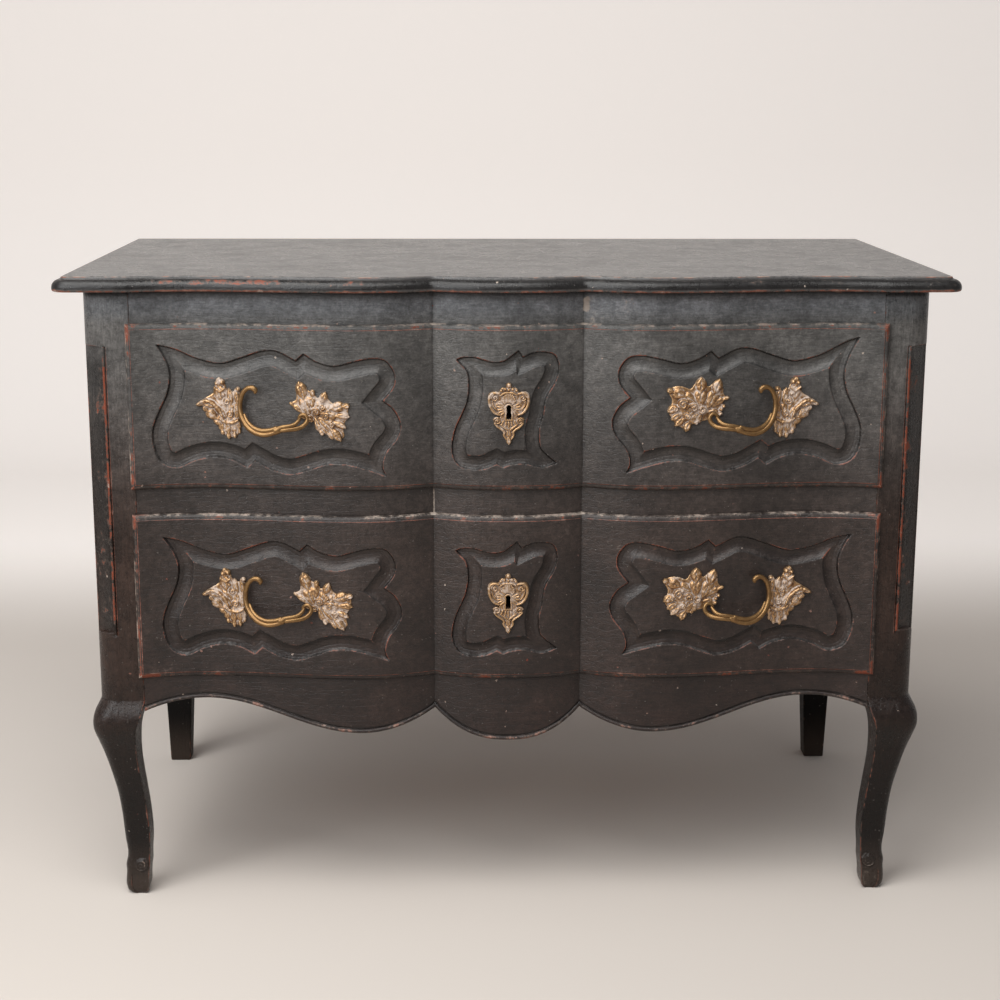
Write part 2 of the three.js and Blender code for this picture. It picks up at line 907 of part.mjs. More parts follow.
// The C-scroll and bar of a handle, one round rod along a curve
function handleBar(side, levels) {
  const points = barShares.map(([out, up, proud]) => {
    const x = side * (handleOffset + (out * handleWidth) / 2);
    return new THREE.Vector3(x, drawerFaceY(x) - proud * barProud, levels.middle + (up * handleHeight) / 2);
  });
  const section = new THREE.Shape();
  for (let corner = 0; corner < barSides; corner += 1) {
    const turn = (2 * Math.PI * corner) / barSides;
    const across = barRadius * Math.cos(turn);
    const along = barRadius * Math.sin(turn);
    if (corner === 0) {
      section.moveTo(across, along);
    } else {
      section.lineTo(across, along);
    }
  }
  const extrudePath = new THREE.CatmullRomCurve3(points);
  return solidOf(new THREE.ExtrudeGeometry(section, { steps: barSteps, extrudePath }));
}

// A handle in one casting: two plates, the bar and a stud behind each plate
function handle(side, levels, front) {
  let casting = handlePlate(side, levels, outerPlateShares);
  casting = casting.add(handlePlate(side, levels, innerPlateShares));
  casting = casting.add(handleBar(side, levels));
  casting = casting.subtract(front.translate(0, -jointGap, 0));
  for (const stud of studPlaces(levels).filter((place) => place.side === side)) {
    const start = drawerFaceY(stud.x) - plateThickness / 2;
    const end = frontBackPlane + nutThickness + studEnd;
    casting = casting.add(rodAlongY(studRadius, stud.x, stud.z, start, end));
  }
  return casting;
}

function nut({ x, z }) {
  const half = nutWidth / 2;
  const front = frontBackPlane + jointGap;
  const back = front + nutThickness;
  const body = block(x - half, x + half, front, back, z - half, z + half);
  return body.subtract(rodAlongY(studRadius + jointGap, x, z, front - cutOverrun, back + cutOverrun));
}

function addDrawer(name, opening) {
  const levels = drawerLevels(opening);
  const front = drawerFront(opening, levels);
  const bottom = bottomBoard(levels, 0);
  addPart(`${name}_drawer_front`, front, 'paint');
  addPart(`${name}_drawer_side_left`, drawerSide(-1, levels), 'rawWood');
  addPart(`${name}_drawer_side_right`, drawerSide(1, levels), 'rawWood');
  addPart(`${name}_drawer_back`, drawerBack(levels), 'rawWood');
  addPart(`${name}_drawer_bottom`, bottom, 'rawWood');
  addPart(`${name}_lock_case`, lockCase(levels), 'iron');
  addPart(`${name}_lock_bolt`, lockBolt(levels), 'iron');
  addPart(`${name}_escutcheon`, escutcheon(levels, front), 'brass');
  addPart(`${name}_handle_left`, handle(-1, levels, front), 'brass');
  addPart(`${name}_handle_right`, handle(1, levels, front), 'brass');
  studPlaces(levels).forEach((place, index) => {
    addPart(`${name}_handle_nut_${index + 1}`, nut(place), 'iron');
  });
}

function addCase() {
  const boards = topBoards();
  addPart('top_front_board', boards.front, 'paint');
  addPart('top_rear_board', boards.rear, 'paint');
  const rails = {
    front_top_rail: frontRail(() => upperOpeningTop, postTop, ...tenonLevels.top)
      .subtract(boltMortise(openings.upper)),
    front_middle_rail: frontRail(() => lowerOpeningTop, upperOpeningBottom, ...tenonLevels.middle)
      .subtract(boltMortise(openings.lower)),
    front_apron: frontRail((x) => crossbow(x, apronLevels), apronTop, ...tenonLevels.bottom),
  };
  for (const [name, rail] of Object.entries(rails)) {
    addPart(name, cutPegs(cutPegs(rail, -1), 1), 'paint');
  }
  addPart('back_top_rail', backRail(backRails.top), 'rawWood');
  addPart('back_bottom_rail', backRail(backRails.bottom), 'rawWood');
  for (let index = 0; index < backBoardCount; index += 1) {
    addPart(`back_board_${index + 1}`, backBoard(index), 'rawWood');
  }
  for (const [word, side] of [['left', -1], ['right', 1]]) {
    addPart(`front_post_${word}`, frontPost(side), 'paint');
    addPart(`rear_post_${word}`, rearPost(side), 'paint');
    addPart(`side_top_rail_${word}`, sideRail(side, sideRails.top), 'paint');
    addPart(`side_bottom_rail_${word}`, sideRail(side, sideRails.bottom), 'paint');
    addPart(`side_panel_${word}`, sidePanel(side, 0), 'paint');
    addPart(`upper_runner_${word}`, runner(side, openings.upper), 'rawWood');
    addPart(`lower_runner_${word}`, runner(side, openings.lower), 'rawWood');
    addPart(`upper_kicker_${word}`, kicker(side), 'rawWood');
    for (const [name, z] of pegPlaces()) {
      addPart(`${name}_${word}`, pegRod(side, z, 0), 'paint');
    }
  }
}

addCase();
addDrawer('upper', openings.upper);
addDrawer('lower', openings.lower);

export default commode;
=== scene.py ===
# Looks of a worn black commode chest with a crossbow front, built around its packed construction.
# The sizes here are in millimetres and turn to metres when a mesh is made.
import math

import bmesh
import bpy
import numpy as np
from mathutils import Matrix, Vector


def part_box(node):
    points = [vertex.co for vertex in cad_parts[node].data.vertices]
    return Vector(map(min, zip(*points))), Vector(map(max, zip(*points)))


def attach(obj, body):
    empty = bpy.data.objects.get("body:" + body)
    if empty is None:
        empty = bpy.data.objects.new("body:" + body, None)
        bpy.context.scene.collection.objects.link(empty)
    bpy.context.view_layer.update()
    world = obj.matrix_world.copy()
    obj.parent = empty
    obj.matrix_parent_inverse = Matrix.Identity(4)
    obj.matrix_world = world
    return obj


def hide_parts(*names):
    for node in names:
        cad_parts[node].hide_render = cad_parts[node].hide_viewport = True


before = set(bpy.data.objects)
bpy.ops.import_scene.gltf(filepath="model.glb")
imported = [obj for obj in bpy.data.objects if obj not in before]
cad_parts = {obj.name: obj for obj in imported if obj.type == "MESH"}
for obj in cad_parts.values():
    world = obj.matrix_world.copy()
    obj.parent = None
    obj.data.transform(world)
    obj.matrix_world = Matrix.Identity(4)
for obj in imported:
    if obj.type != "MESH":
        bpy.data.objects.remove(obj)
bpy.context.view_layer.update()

MM = 0.001
SIDES = (("left", -1), ("right", 1))
DRAWERS = ("upper", "lower")


def corners(node):
    """A node's lowest and highest corner in millimetres."""
    low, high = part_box(node)
    return np.array(low) / MM, np.array(high) / MM


# Places read from the construction
top_low = corners("top_front_board")[0]
top_high = corners("top_rear_board")[1]
rear_post_high = corners("rear_post_right")[1]
TOP_HALF = top_high[0]
TOP_SURFACE = top_high[2]
TOP_UNDERSIDE = corners("top_rear_board")[0][2]
TOP_REAR = top_high[1]
BOARD_JOINT = corners("top_front_board")[1][1]
JOINT_GAP = corners("top_rear_board")[0][1] - BOARD_JOINT
CASE_HALF = rear_post_high[0]
CASE_BACK = rear_post_high[1]
POST_TOP = rear_post_high[2]

# The crossbow line of the front, as shares of its half width, and its levels
FRONT_OVERHANG = 29
POST_WIDTH = 64
DRAWER_CLEARANCE = 1.5
CUSP_SHARE = 0.2
LOBE_SHARE = 0.4
HOLLOW_SHARE = 0.83
LOBE_POWER = 2.4
PLAN_LEVELS = {"centre": -8, "cusp": 12, "lobe": -10, "hollow": 11, "end": 0}
APRON_LEVELS = {"centre": 236, "cusp": 277.5, "lobe": 247.5, "hollow": 293.5, "end": 277}

SLAB_CORNER = top_low[1] - PLAN_LEVELS["lobe"]
CASE_FRONT = SLAB_CORNER + FRONT_OVERHANG
OPENING_HALF = CASE_HALF - POST_WIDTH
LINE_END = OPENING_HALF + DRAWER_CLEARANCE
CUSP_X = CUSP_SHARE * LINE_END
LOBE_X = LOBE_SHARE * LINE_END
HOLLOW_X = HOLLOW_SHARE * LINE_END


# Curves and meshes

def crossbow(x, levels):
    """The double-bowed line: a lobe in the middle, a cusp, a second lobe and a hollow."""
    across = np.minimum(np.abs(x), LINE_END)
    middle = (across / CUSP_X) ** LOBE_POWER
    inner = ((LOBE_X - across) / (LOBE_X - CUSP_X)) ** 2
    swing = (1 - np.cos(np.pi * (across - LOBE_X) / (HOLLOW_X - LOBE_X))) / 2
    outer = ((across - HOLLOW_X) / (LINE_END - HOLLOW_X)) ** 2
    rise = levels["cusp"] - levels["centre"]
    fall = levels["cusp"] - levels["lobe"]
    return np.select(
        [across <= CUSP_X, across <= LOBE_X, across <= HOLLOW_X],
        [
            levels["centre"] + rise * middle,
            levels["lobe"] + fall * inner,
            levels["lobe"] + (levels["hollow"] - levels["lobe"]) * swing,
        ],
        levels["hollow"] + (levels["end"] - levels["hollow"]) * outer,
    )


def face_y(x):
    """Where the case's front face lies."""
    return CASE_FRONT + crossbow(x, PLAN_LEVELS)


def stations(half, spacing):
    """Places across the front from -half to half that include the line's own turning points."""
    knots = [0, CUSP_X, LOBE_X, HOLLOW_X, half]
    right = [0.0]
    for start, end in zip(knots, knots[1:]):
        steps = max(1, round((end - start) / spacing))
        right += list(np.linspace(start, end, steps + 1)[1:])
    return np.array([-x for x in reversed(right[1:])] + right)


def smooth_line(points, steps):
    """A Catmull-Rom line through points, with a number of steps between each two."""
    points = np.array(points, float)
    padded = np.vstack([2 * points[0] - points[1], points, 2 * points[-1] - points[-2]])
    made = []
    for index in range(1, len(padded) - 2):
        a, b, c, d = padded[index - 1:index + 3]
        for t in np.linspace(0, 1, steps, endpoint=False):
            made.append(
                0.5 * (2 * b + (c - a) * t + (2 * a - 5 * b + 4 * c - d) * t ** 2
                       + (3 * b - a - 3 * c + d) * t ** 3)
            )
    return np.vstack([made, points[-1]])


def through(table, places):
    """Every column of a table whose first column is a place, smoothly between its rows."""
    table = np.array(table, float)
    at, rows = table[:, 0], table[:, 1:]
    slopes = np.gradient(rows, at, axis=0)
    index = np.clip(np.searchsorted(at, places, side="right") - 1, 0, len(at) - 2)
    span = at[index + 1] - at[index]
    t = ((places - at[index]) / span)[:, None]
    span = span[:, None]
    return (
        (2 * t ** 3 - 3 * t ** 2 + 1) * rows[index] + (t ** 3 - 2 * t ** 2 + t) * span * slopes[index]
        + (3 * t ** 2 - 2 * t ** 3) * rows[index + 1] + (t ** 3 - t ** 2) * span * slopes[index + 1]
    )


def ease(value, low, high):
    """0 below low, 1 above high and smooth between them."""
    t = np.clip((value - low) / (high - low), 0, 1)
    return t * t * (3 - 2 * t)


def near(value, middle, reach):
    """1 at the middle, falling smoothly away over the reach."""
    return np.exp(-((value - middle) / reach) ** 2)


def edge_wear(mesh, passes, scuff=0, chalk=0, grime=0, dust=0):
    """Stores, in the attributes named in MARKS, how far each point stands out as an arris or is scuffed,
    lies in a hollow, is worn to chalky filler, is darkened as painted shade, or holds settled dust
    with a painted highlight."""
    count = len(mesh.vertices)
    places = np.empty(count * 3)
    mesh.vertices.foreach_get("co", places)
    places = places.reshape(-1, 3) / MM
    normals = np.empty(count * 3)
    mesh.vertices.foreach_get("normal", normals)
    normals = normals.reshape(-1, 3)
    ends = np.empty(len(mesh.edges) * 2, int)
    mesh.edges.foreach_get("vertices", ends)
    first, second = ends.reshape(-1, 2).T
    along = places[second] - places[first]
    length = np.maximum(np.linalg.norm(along, axis=1), 0.05)
    turn = np.zeros(count)
    neighbours = np.bincount(first, minlength=count) + np.bincount(second, minlength=count)
    neighbours = np.maximum(neighbours, 1)
    for ends_here, sign in ((first, -2), (second, 2)):
        bend = sign * np.einsum("ij,ij->i", along, normals[ends_here]) / length ** 2
        turn += np.bincount(ends_here, bend, minlength=count)
    turn /= neighbours
    for _ in range(passes):
        total = np.bincount(first, turn[second], minlength=count)
        total += np.bincount(second, turn[first], minlength=count)
        turn = 0.5 * turn + 0.5 * total / neighbours
    turn *= ARRIS_RADIUS
    worn = np.clip(turn, 0, 1) + scuff
    for name, value in zip(MARKS, (worn, -turn, chalk, grime, dust)):
        layer = mesh.attributes.new(name, "FLOAT", "POINT")
        value = np.clip(np.broadcast_to(value, count), 0, 1)
        layer.data.foreach_set("value", value.astype(np.float32))


MARKS = ("wear", "hollow", "chalk", "grime", "dust")
ARRIS_RADIUS = 2.2
SHARP_ANGLE = math.radians(48)


def turn_out(mesh):
    """Turns a mesh's faces outwards."""
    shape = bmesh.new()
    shape.from_mesh(mesh)
    bmesh.ops.recalc_face_normals(shape, faces=shape.faces)
    shape.to_mesh(mesh)
    shape.free()


def raw_object(name, points, faces):
    """An object from points in millimetres, with its faces turned out."""
    mesh = bpy.data.meshes.new(name)
    mesh.from_pydata((np.asarray(points, float) * MM).tolist(), [], [list(face) for face in faces])
    turn_out(mesh)
    made = bpy.data.objects.new(name, mesh)
    bpy.context.scene.collection.objects.link(made)
    return made


def finished(made, material, body, slot, passes=1, **marks):
    """Smooth shading, wear and material, and the body that the piece rides on."""
    mesh = made.data
    mesh.shade_smooth()
    edge_wear(mesh, passes, **marks)
    mesh.set_sharp_from_angle(angle=SHARP_ANGLE)
    mesh.materials.clear()
    mesh.materials.append(material)
    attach(made, body)
    return made


def piece(node, made_as, points, faces, material, body="case", slot="black_paint", **marks):
    """A visible piece in the place of a node of the construction."""
    made = finished(raw_object(f"{node}_{made_as}", points, faces), material, body, slot, **marks)
    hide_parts(node)


def loft(rings):
    """Points and faces of a body through rings of equal length, closed by a cap at each end."""
    rings = np.array(rings, float)
    count = rings.shape[1]
    faces = []
    for ring in range(len(rings) - 1):
        for point in range(count):
            after = (point + 1) % count
            low = ring * count
            faces.append((low + point, low + after, low + count + after, low + count + point))
    faces.append(tuple(range(count)))
    last = (len(rings) - 1) * count
    faces.append(tuple(range(last + count - 1, last - 1, -1)))
    return rings.reshape(-1, 3), faces


def shaped(points, faces):
    """Points and faces as an editable shape."""
    shape = bmesh.new()
    verts = [shape.verts.new(p) for p in points]
    for face in faces:
        shape.faces.new([verts[index] for index in face])
    return shape


def unshaped(shape):
    """The points and faces of an editable shape, which is then freed."""
    shape.verts.index_update()
    made = [v.co[:] for v in shape.verts], [[v.index for v in face.verts] for face in shape.faces]
    shape.free()
    return made


# Faces over this many square millimetres get lines of points at these depths
BROAD_FACE = 1500
WEAR_LINES = (2, 2.5)


def hold_wear(shape):
    """Lines of points just inside every broad face, so that wear stays at its arrises."""
    for reach in WEAR_LINES:
        broad = [face for face in shape.faces if face.calc_area() > BROAD_FACE]
        bmesh.ops.inset_individual(shape, faces=broad, thickness=reach, use_even_offset=True)


def board(node, low, high, material, easing):
    """A planed board between two corners, its arrises eased by hand."""
    low, high = np.minimum(low, high), np.maximum(low, high)
    shape = bmesh.new()
    bmesh.ops.create_cube(shape, size=1)
    for vertex in shape.verts:
        vertex.co = Vector((np.array(vertex.co) + 0.5) * (high - low) + low)
    bmesh.ops.bevel(
        shape, geom=shape.edges[:], offset=easing, segments=3, profile=0.5, affect="EDGES",
        clamp_overlap=True,
    )
    hold_wear(shape)
    piece(node, "planed", *unshaped(shape), material)


# Materials

def linear(code):
    """A linear colour from an sRGB hex code."""
    parts = [int(code[index:index + 2], 16) / 255 for index in (1, 3, 5)]
    return tuple(p / 12.92 if p <= 0.04045 else ((p + 0.055) / 1.055) ** 2.4 for p in parts) + (1,)


def per_metre(size):
    """The texture scale that gives a pattern of a size in millimetres."""
    return 1 / (size * MM)


# Settings of the nodes that recur; a colour mix has its factor at 0 and its colours at 6 and 7, and a
# range has its limits at 1 and 2 and what they become at 3 and 4
MIX = {"output": 2, "data_type": "RGBA"}
MULTIPLY = {"output": 2, "data_type": "RGBA", "blend_type": "MULTIPLY"}
SMOOTH = {"interpolation_type": "SMOOTHSTEP"}
MULTIPLY_ADD = {"operation": "MULTIPLY_ADD"}


def add(tree, kind, inputs=(), output=0, **settings):
    """Adds a node with its settings, values and links, and gives one of its outputs."""
    made = tree.nodes.new("ShaderNode" + kind)
    for name, value in settings.items():
        setattr(made, name, value)
    for key, value in dict(inputs).items():
        if isinstance(value, bpy.types.NodeSocket):
            tree.links.new(value, made.inputs[key])
        else:
            made.inputs[key].default_value = value
    return made.outputs[output] if len(made.outputs) else None


def new_material(name):
    """An empty material, its tree and its coordinates."""
    material = bpy.data.materials.new(name)
    material.use_nodes = True
    tree = material.node_tree
    tree.nodes.clear()
    return material, tree, add(tree, "TexCoord", output="Object")


def drawn_out(axis, share):
    """The scale that draws a pattern out along an axis."""
    return [share if letter == axis else 1 for letter in "XYZ"]


def black_paint(name, axis, rubbed, tones_with_painted_light, gloss, dull, sheen, calm=0.0, unevenness=1.0):
    """Thin black milk paint over a red ground on wood, polished with wax to a satin and clouded. It is
    darker and browner towards the floor as painted shade and lighter and cooler higher up as a
    painted sheen. It is brushed along the grain, with nibs and fine cracks that catch the light.
    Rubbed arrises show grey wood and the red ground, and chalky filler shows where an edge is worn
    right through."""
    material, tree, place = new_material(name)
    grain = add(tree, "Mapping", {"Vector": place, "Scale": drawn_out(axis, 0.07)})
    height = add(tree, "SeparateXYZ", {0: place}, "Z")
    clouds, patches, streaks, mottle, grit = (
        add(tree, "TexNoise", {"Vector": at, "Scale": per_metre(size), "Detail": detail, "Roughness": rough})
        for at, size, detail, rough in (
            (place, 130, 5, 0.6), (place, 46, 8, 0.66), (grain, 2.2, 4, 0.6), (place, 9, 6, 0.7),
            (place, 2.6, 3, 0.65),
        )
    )
    wear, hollow, chalk, grime, dust = (
        add(tree, "Attribute", output="Fac", attribute_name=mark) for mark in MARKS
    )

    # The paint's colour from the floor up, darker towards the floor as painted shade and lighter and
    # cooler higher up as a painted sheen, and how uneven it is
    tone, *higher = (linear(code) for code in tones_with_painted_light)
    for colour, (start, end) in zip(higher, ((0.12, 0.5), (0.5, 0.86), (0.812, 0.846))):
        reach = add(tree, "MapRange", {0: height, 1: start, 2: end}, **SMOOTH)
        tone = add(tree, "Mix", {0: reach, 6: tone, 7: colour}, **MIX)
    for pattern, *shades in (
        (clouds, 0.76, 1.2), (patches, 0.8, 1.22), (streaks, 0.84, 1.16), (mottle, 0.76, 1.28),
        (grit, 0.86, 1.16),
    ):
        dark, light = (1 + unevenness * (shade - 1) for shade in shades)
        share = add(tree, "MapRange", {0: pattern, 1: 0.34, 2: 0.66, 3: dark, 4: light}, **SMOOTH)
        tone = add(tree, "Mix", {0: 1.0, 6: tone, 7: share}, **MULTIPLY)

    # Rubbing follows the arrises, broken up along the grain and by hand-sized patches
    spread = add(tree, "Math", {0: patches, 1: mottle}, operation="ADD")
    broken = add(tree, "Math", {0: spread, 1: calm}, operation="SUBTRACT")
    rub = add(tree, "Math", {0: wear, 1: rubbed, 2: broken}, **MULTIPLY_ADD)
    thin = add(tree, "MapRange", {0: rub, 1: 1.2, 2: 1.4, 4: 0.8}, **SMOOTH)
    red = add(tree, "MapRange", {0: rub, 1: 1.3, 2: 1.42}, **SMOOTH)
    bare = add(tree, "MapRange", {0: rub, 1: 1.52, 2: 1.72}, **SMOOTH)
    ground = add(tree, "Mix", {0: streaks, 6: linear("#43231a"), 7: linear("#9a4b30")}, **MIX)
    pale = add(tree, "Mix", {0: mottle, 6: linear("#7d7066"), 7: linear("#bfb2a5")}, **MIX)

    # Chips of paint a millimetre or two across, down to the red ground or to chalky filler, and nibs
    # under the paint, whose tops are polished pale
    wobble = add(tree, "TexNoise", {"Vector": place, "Scale": per_metre(2.2), "Detail": 3}, "Color")
    wobble = add(tree, "VectorMath", {0: wobble, "Scale": 0.0035}, operation="SCALE")
    ragged = add(tree, "VectorMath", {0: place, 1: wobble}, operation="ADD")
    spots = []
    for cell, rarest, widest in ((14, 0.8, 0.12), (5.5, 0.55, 0.17)):
        cells = add(tree, "TexVoronoi", {"Vector": ragged, "Scale": per_metre(cell)}).node.outputs
        lots = add(tree, "SeparateColor", {0: cells["Color"]}).node.outputs
        size = add(tree, "MapRange", {0: lots[0], 1: rarest, 2: 1.0, 4: widest}, **SMOOTH)
        spots.append((add(tree, "Math", {0: cells["Distance"], 1: size}, operation="LESS_THAN"), lots[1]))
    (chip, kind), (nib, _) = spots
    chip_look = add(tree, "Mix", {0: kind, 6: linear("#6b3022"), 7: linear("#a89c90")}, **MIX)
    nib_share = add(tree, "Math", {0: nib, 1: 0.3}, operation="MULTIPLY")

    # Chalky filler on the worn edges, dust in the quirks and on the feet, and settled dust with a painted
    # highlight on the slopes that face up
    chalky = add(tree, "Math", {0: broken, 1: 0.8, 2: chalk}, **MULTIPLY_ADD)
    chalky = add(tree, "MapRange", {0: chalky, 1: 1.12, 2: 1.42, 4: 0.92}, **SMOOTH)
    quirks = add(tree, "Math", {0: hollow, 1: 0.5, 2: patches}, **MULTIPLY_ADD)
    quirks = add(tree, "MapRange", {0: quirks, 1: 0.92, 2: 1.1, 4: 0.4}, **SMOOTH)
    dust_and_light_share = add(tree, "MapRange", {0: broken, 1: 0.8, 2: 1.3}, **SMOOTH)
    dust_and_light_share = add(tree, "Math", {0: dust, 1: dust_and_light_share}, operation="MULTIPLY")
    swept = add(tree, "MapRange", {0: height, 1: 0.01, 2: 0.09, 3: 0.32, 4: 0.0}, **SMOOTH)

    # Near black #0b0807 is painted shade, and pale #8e8c8a on slopes that face up is settled dust with a
    # painted highlight; the other colours are thin paint, wear, chips, nibs, filler and dust
    for share, colour in (
        (grime, linear("#0b0807")), (thin, linear("#5d544d")), (red, ground), (bare, pale),
        (chip, chip_look), (nib_share, linear("#8d8882")), (chalky, pale), (quirks, linear("#7d7974")),
        (dust_and_light_share, linear("#8e8c8a")), (swept, linear("#5f5249")),
    ):
        tone = add(tree, "Mix", {0: share, 6: tone, 7: colour}, **MIX)
    satin = add(tree, "MapRange", {0: broken, 1: 0.75, 2: 1.25, 3: gloss, 4: dull}, **SMOOTH)
    satin = add(tree, "Math", {0: thin, 1: 0.2 * unevenness, 2: satin}, **MULTIPLY_ADD)

    # Brush marks, lumps, nibs, chips and long fine cracks, as one relief
    wander = add(tree, "TexNoise", {"Vector": place, "Scale": per_metre(14), "Detail": 2}, "Color")
    wander = add(tree, "VectorMath", {0: wander, "Scale": 0.006}, operation="SCALE")
    bent = add(tree, "VectorMath", {0: grain, 1: wander}, operation="ADD")
    cracks = add(tree, "TexVoronoi", {"Vector": bent, "Scale": per_metre(9)}, feature="DISTANCE_TO_EDGE")
    cracks = add(tree, "MapRange", {0: cracks, 1: 0.0, 2: 0.06}, **SMOOTH)
    relief = 0.0
    for pattern, rise in (
        (cracks, 0.3), (chip, -0.5), (nib, 0.35), (streaks, 0.7), (grit, 0.8), (mottle, 1.7),
    ):
        relief = add(tree, "Math", {0: pattern, 1: rise, 2: relief}, **MULTIPLY_ADD)
    bump = add(tree, "Bump", {"Height": relief, "Strength": 0.9 * unevenness, "Distance": 0.0006})
    skin = add(tree, "BsdfPrincipled", {
        "Base Color": tone, "Roughness": satin, "Normal": bump, "IOR": 1.5, "Specular IOR Level": sheen,
    })
    add(tree, "OutputMaterial", {"Surface": skin})
    return material


def planed_wood(name, axis, light, dark, pore):
    """Unpainted hand-planed wood, greyed and oiled by age: long straight grain with darker
    late-wood lines, dull, with scattered short pores."""
    material, tree, place = new_material(name)
    grain, shorter = (
        add(tree, "Mapping", {"Vector": place, "Scale": drawn_out(axis, share)}) for share in (0.06, 0.12)
    )
    years, pores, stains = (
        add(tree, "TexNoise", {"Vector": at, "Scale": per_metre(size), "Detail": detail, "Roughness": rough})
        for at, size, detail, rough in (
            (grain, 26, 3, 0.5), (shorter, pore, 2, 0.5), (place, 170, 5, 0.6),
        )
    )
    lines = add(tree, "TexNoise", {
        "Vector": grain, "Scale": per_metre(5), "Detail": 5, "Roughness": 0.62, "Distortion": 0.35,
    })
    banded = add(tree, "MapRange", {0: lines, 1: 0.34, 2: 0.66}, **SMOOTH)
    tone = add(tree, "Mix", {0: banded, 6: linear(dark), 7: linear(light)}, **MIX)
    for pattern, start, end, darkest, lightest in (
        (years, 0.3, 0.7, 0.78, 1.15), (stains, 0.35, 0.65, 0.72, 1.08), (pores, 0.3, 0.37, 0.55, 1.0),
    ):
        share = add(tree, "MapRange", {0: pattern, 1: start, 2: end, 3: darkest, 4: lightest})
        tone = add(tree, "Mix", {0: 1.0, 6: tone, 7: share}, **MULTIPLY)
    dull = add(tree, "MapRange", {0: lines, 1: 0.3, 2: 0.7, 3: 0.78, 4: 0.62})
    relief = add(tree, "Math", {0: share, 1: 0.5, 2: lines}, **MULTIPLY_ADD)
    bump = add(tree, "Bump", {"Height": relief, "Strength": 0.45, "Distance": 0.0004})
    skin = add(tree, "BsdfPrincipled", {"Base Color": tone, "Roughness": dull, "Normal": bump, "IOR": 1.45})
    add(tree, "OutputMaterial", {"Surface": skin})
    return material


def gilt_brass():
    """Cast brass with old gilding: warm gold on the tops, brown in the hollows, and over the leaves
    a dusty pinkish grey bloom of polish. The handled bars are rubbed clean of it."""
    material, tree, place = new_material("gilt_brass")
    wear, hollow, chalk = (
        add(tree, "Attribute", output="Fac", attribute_name=mark) for mark in MARKS[:3]
    )
    cloud, drift, grit = (
        add(tree, "TexNoise", {0: place, "Scale": per_metre(size), "Detail": detail, "Roughness": rough})
        for size, detail, rough in ((6, 5, 0.7), (17, 3, 0.6), (1.2, 3, 0.6))
    )
    clouded = add(tree, "MapRange", {0: cloud, 1: 0.3, 2: 0.7}, **SMOOTH)
    handled, gilded, shine, dusty = (
        add(tree, "Mix", {0: share, 6: linear(first), 7: linear(second)}, **MIX)
        for share, first, second in (
            (clouded, "#64462c", "#8a6a42"), (clouded, "#84603f", "#b58f66"),
            (chalk, "#9a7b52", "#d6b388"), (grit, "#a8978a", "#dccfc4"),
        )
    )
    rubbed = add(tree, "MapRange", {0: wear, 1: 0.1, 2: 0.5, 4: 0.4}, **SMOOTH)
    sunk = add(tree, "MapRange", {0: hollow, 1: 0.06, 2: 0.4, 4: 0.7}, **SMOOTH)
    spread = 0.0
    for pattern, share in ((hollow, 0.3), (cloud, 0.8), (drift, 0.8)):
        spread = add(tree, "Math", {0: pattern, 1: share, 2: spread}, **MULTIPLY_ADD)
    bloom = add(tree, "MapRange", {0: spread, 1: 0.78, 2: 1.02, 4: 0.88}, **SMOOTH)
    bloom = add(tree, "Math", {0: bloom, 1: chalk}, operation="MULTIPLY")
    tone = handled
    for share, colour in ((chalk, gilded), (rubbed, shine), (sunk, linear("#412a1d")), (bloom, dusty)):
        tone = add(tree, "Mix", {0: share, 6: tone, 7: colour}, **MIX)
    covered = add(tree, "Math", {0: sunk, 1: bloom}, operation="MAXIMUM")
    metal = add(tree, "MapRange", {0: covered, 2: 0.9, 3: 0.8, 4: 0.05}, **SMOOTH)
    satin = add(tree, "MapRange", {0: covered, 2: 0.9, 3: 0.38, 4: 0.8}, **SMOOTH)
    relief = add(tree, "Math", {0: cloud, 1: 1.2, 2: grit}, **MULTIPLY_ADD)
    bump = add(tree, "Bump", {"Height": relief, "Strength": 0.25, "Distance": 0.0004})
    skin = add(tree, "BsdfPrincipled", {
        "Base Color": tone, "Metallic": metal, "Roughness": satin, "Normal": bump, "IOR": 1.5,
    })
    add(tree, "OutputMaterial", {"Surface": skin})
    return material


def wrought_iron():
    """Forged and filed iron, dark, with a thin brown oxide in clouds."""
    material, tree, place = new_material("wrought_iron")
    rust = add(tree, "TexNoise", {"Vector": place, "Scale": per_metre(12), "Detail": 7, "Roughness": 0.7})
    patch = add(tree, "MapRange", {0: rust, 1: 0.45, 2: 0.6}, **SMOOTH)
    tone = add(tree, "Mix", {0: patch, 6: linear("#4b4844"), 7: linear("#5a3826")}, **MIX)
    dull = add(tree, "MapRange", {0: rust, 1: 0.3, 2: 0.7, 3: 0.42, 4: 0.8})
    bump = add(tree, "Bump", {"Height": rust, "Strength": 0.4, "Distance": 0.0005})
    skin = add(tree, "BsdfPrincipled", {
        "Base Color": tone, "Roughness": dull, "Normal": bump, "Metallic": 0.75,
    })
    add(tree, "OutputMaterial", {"Surface": skin})
    return material


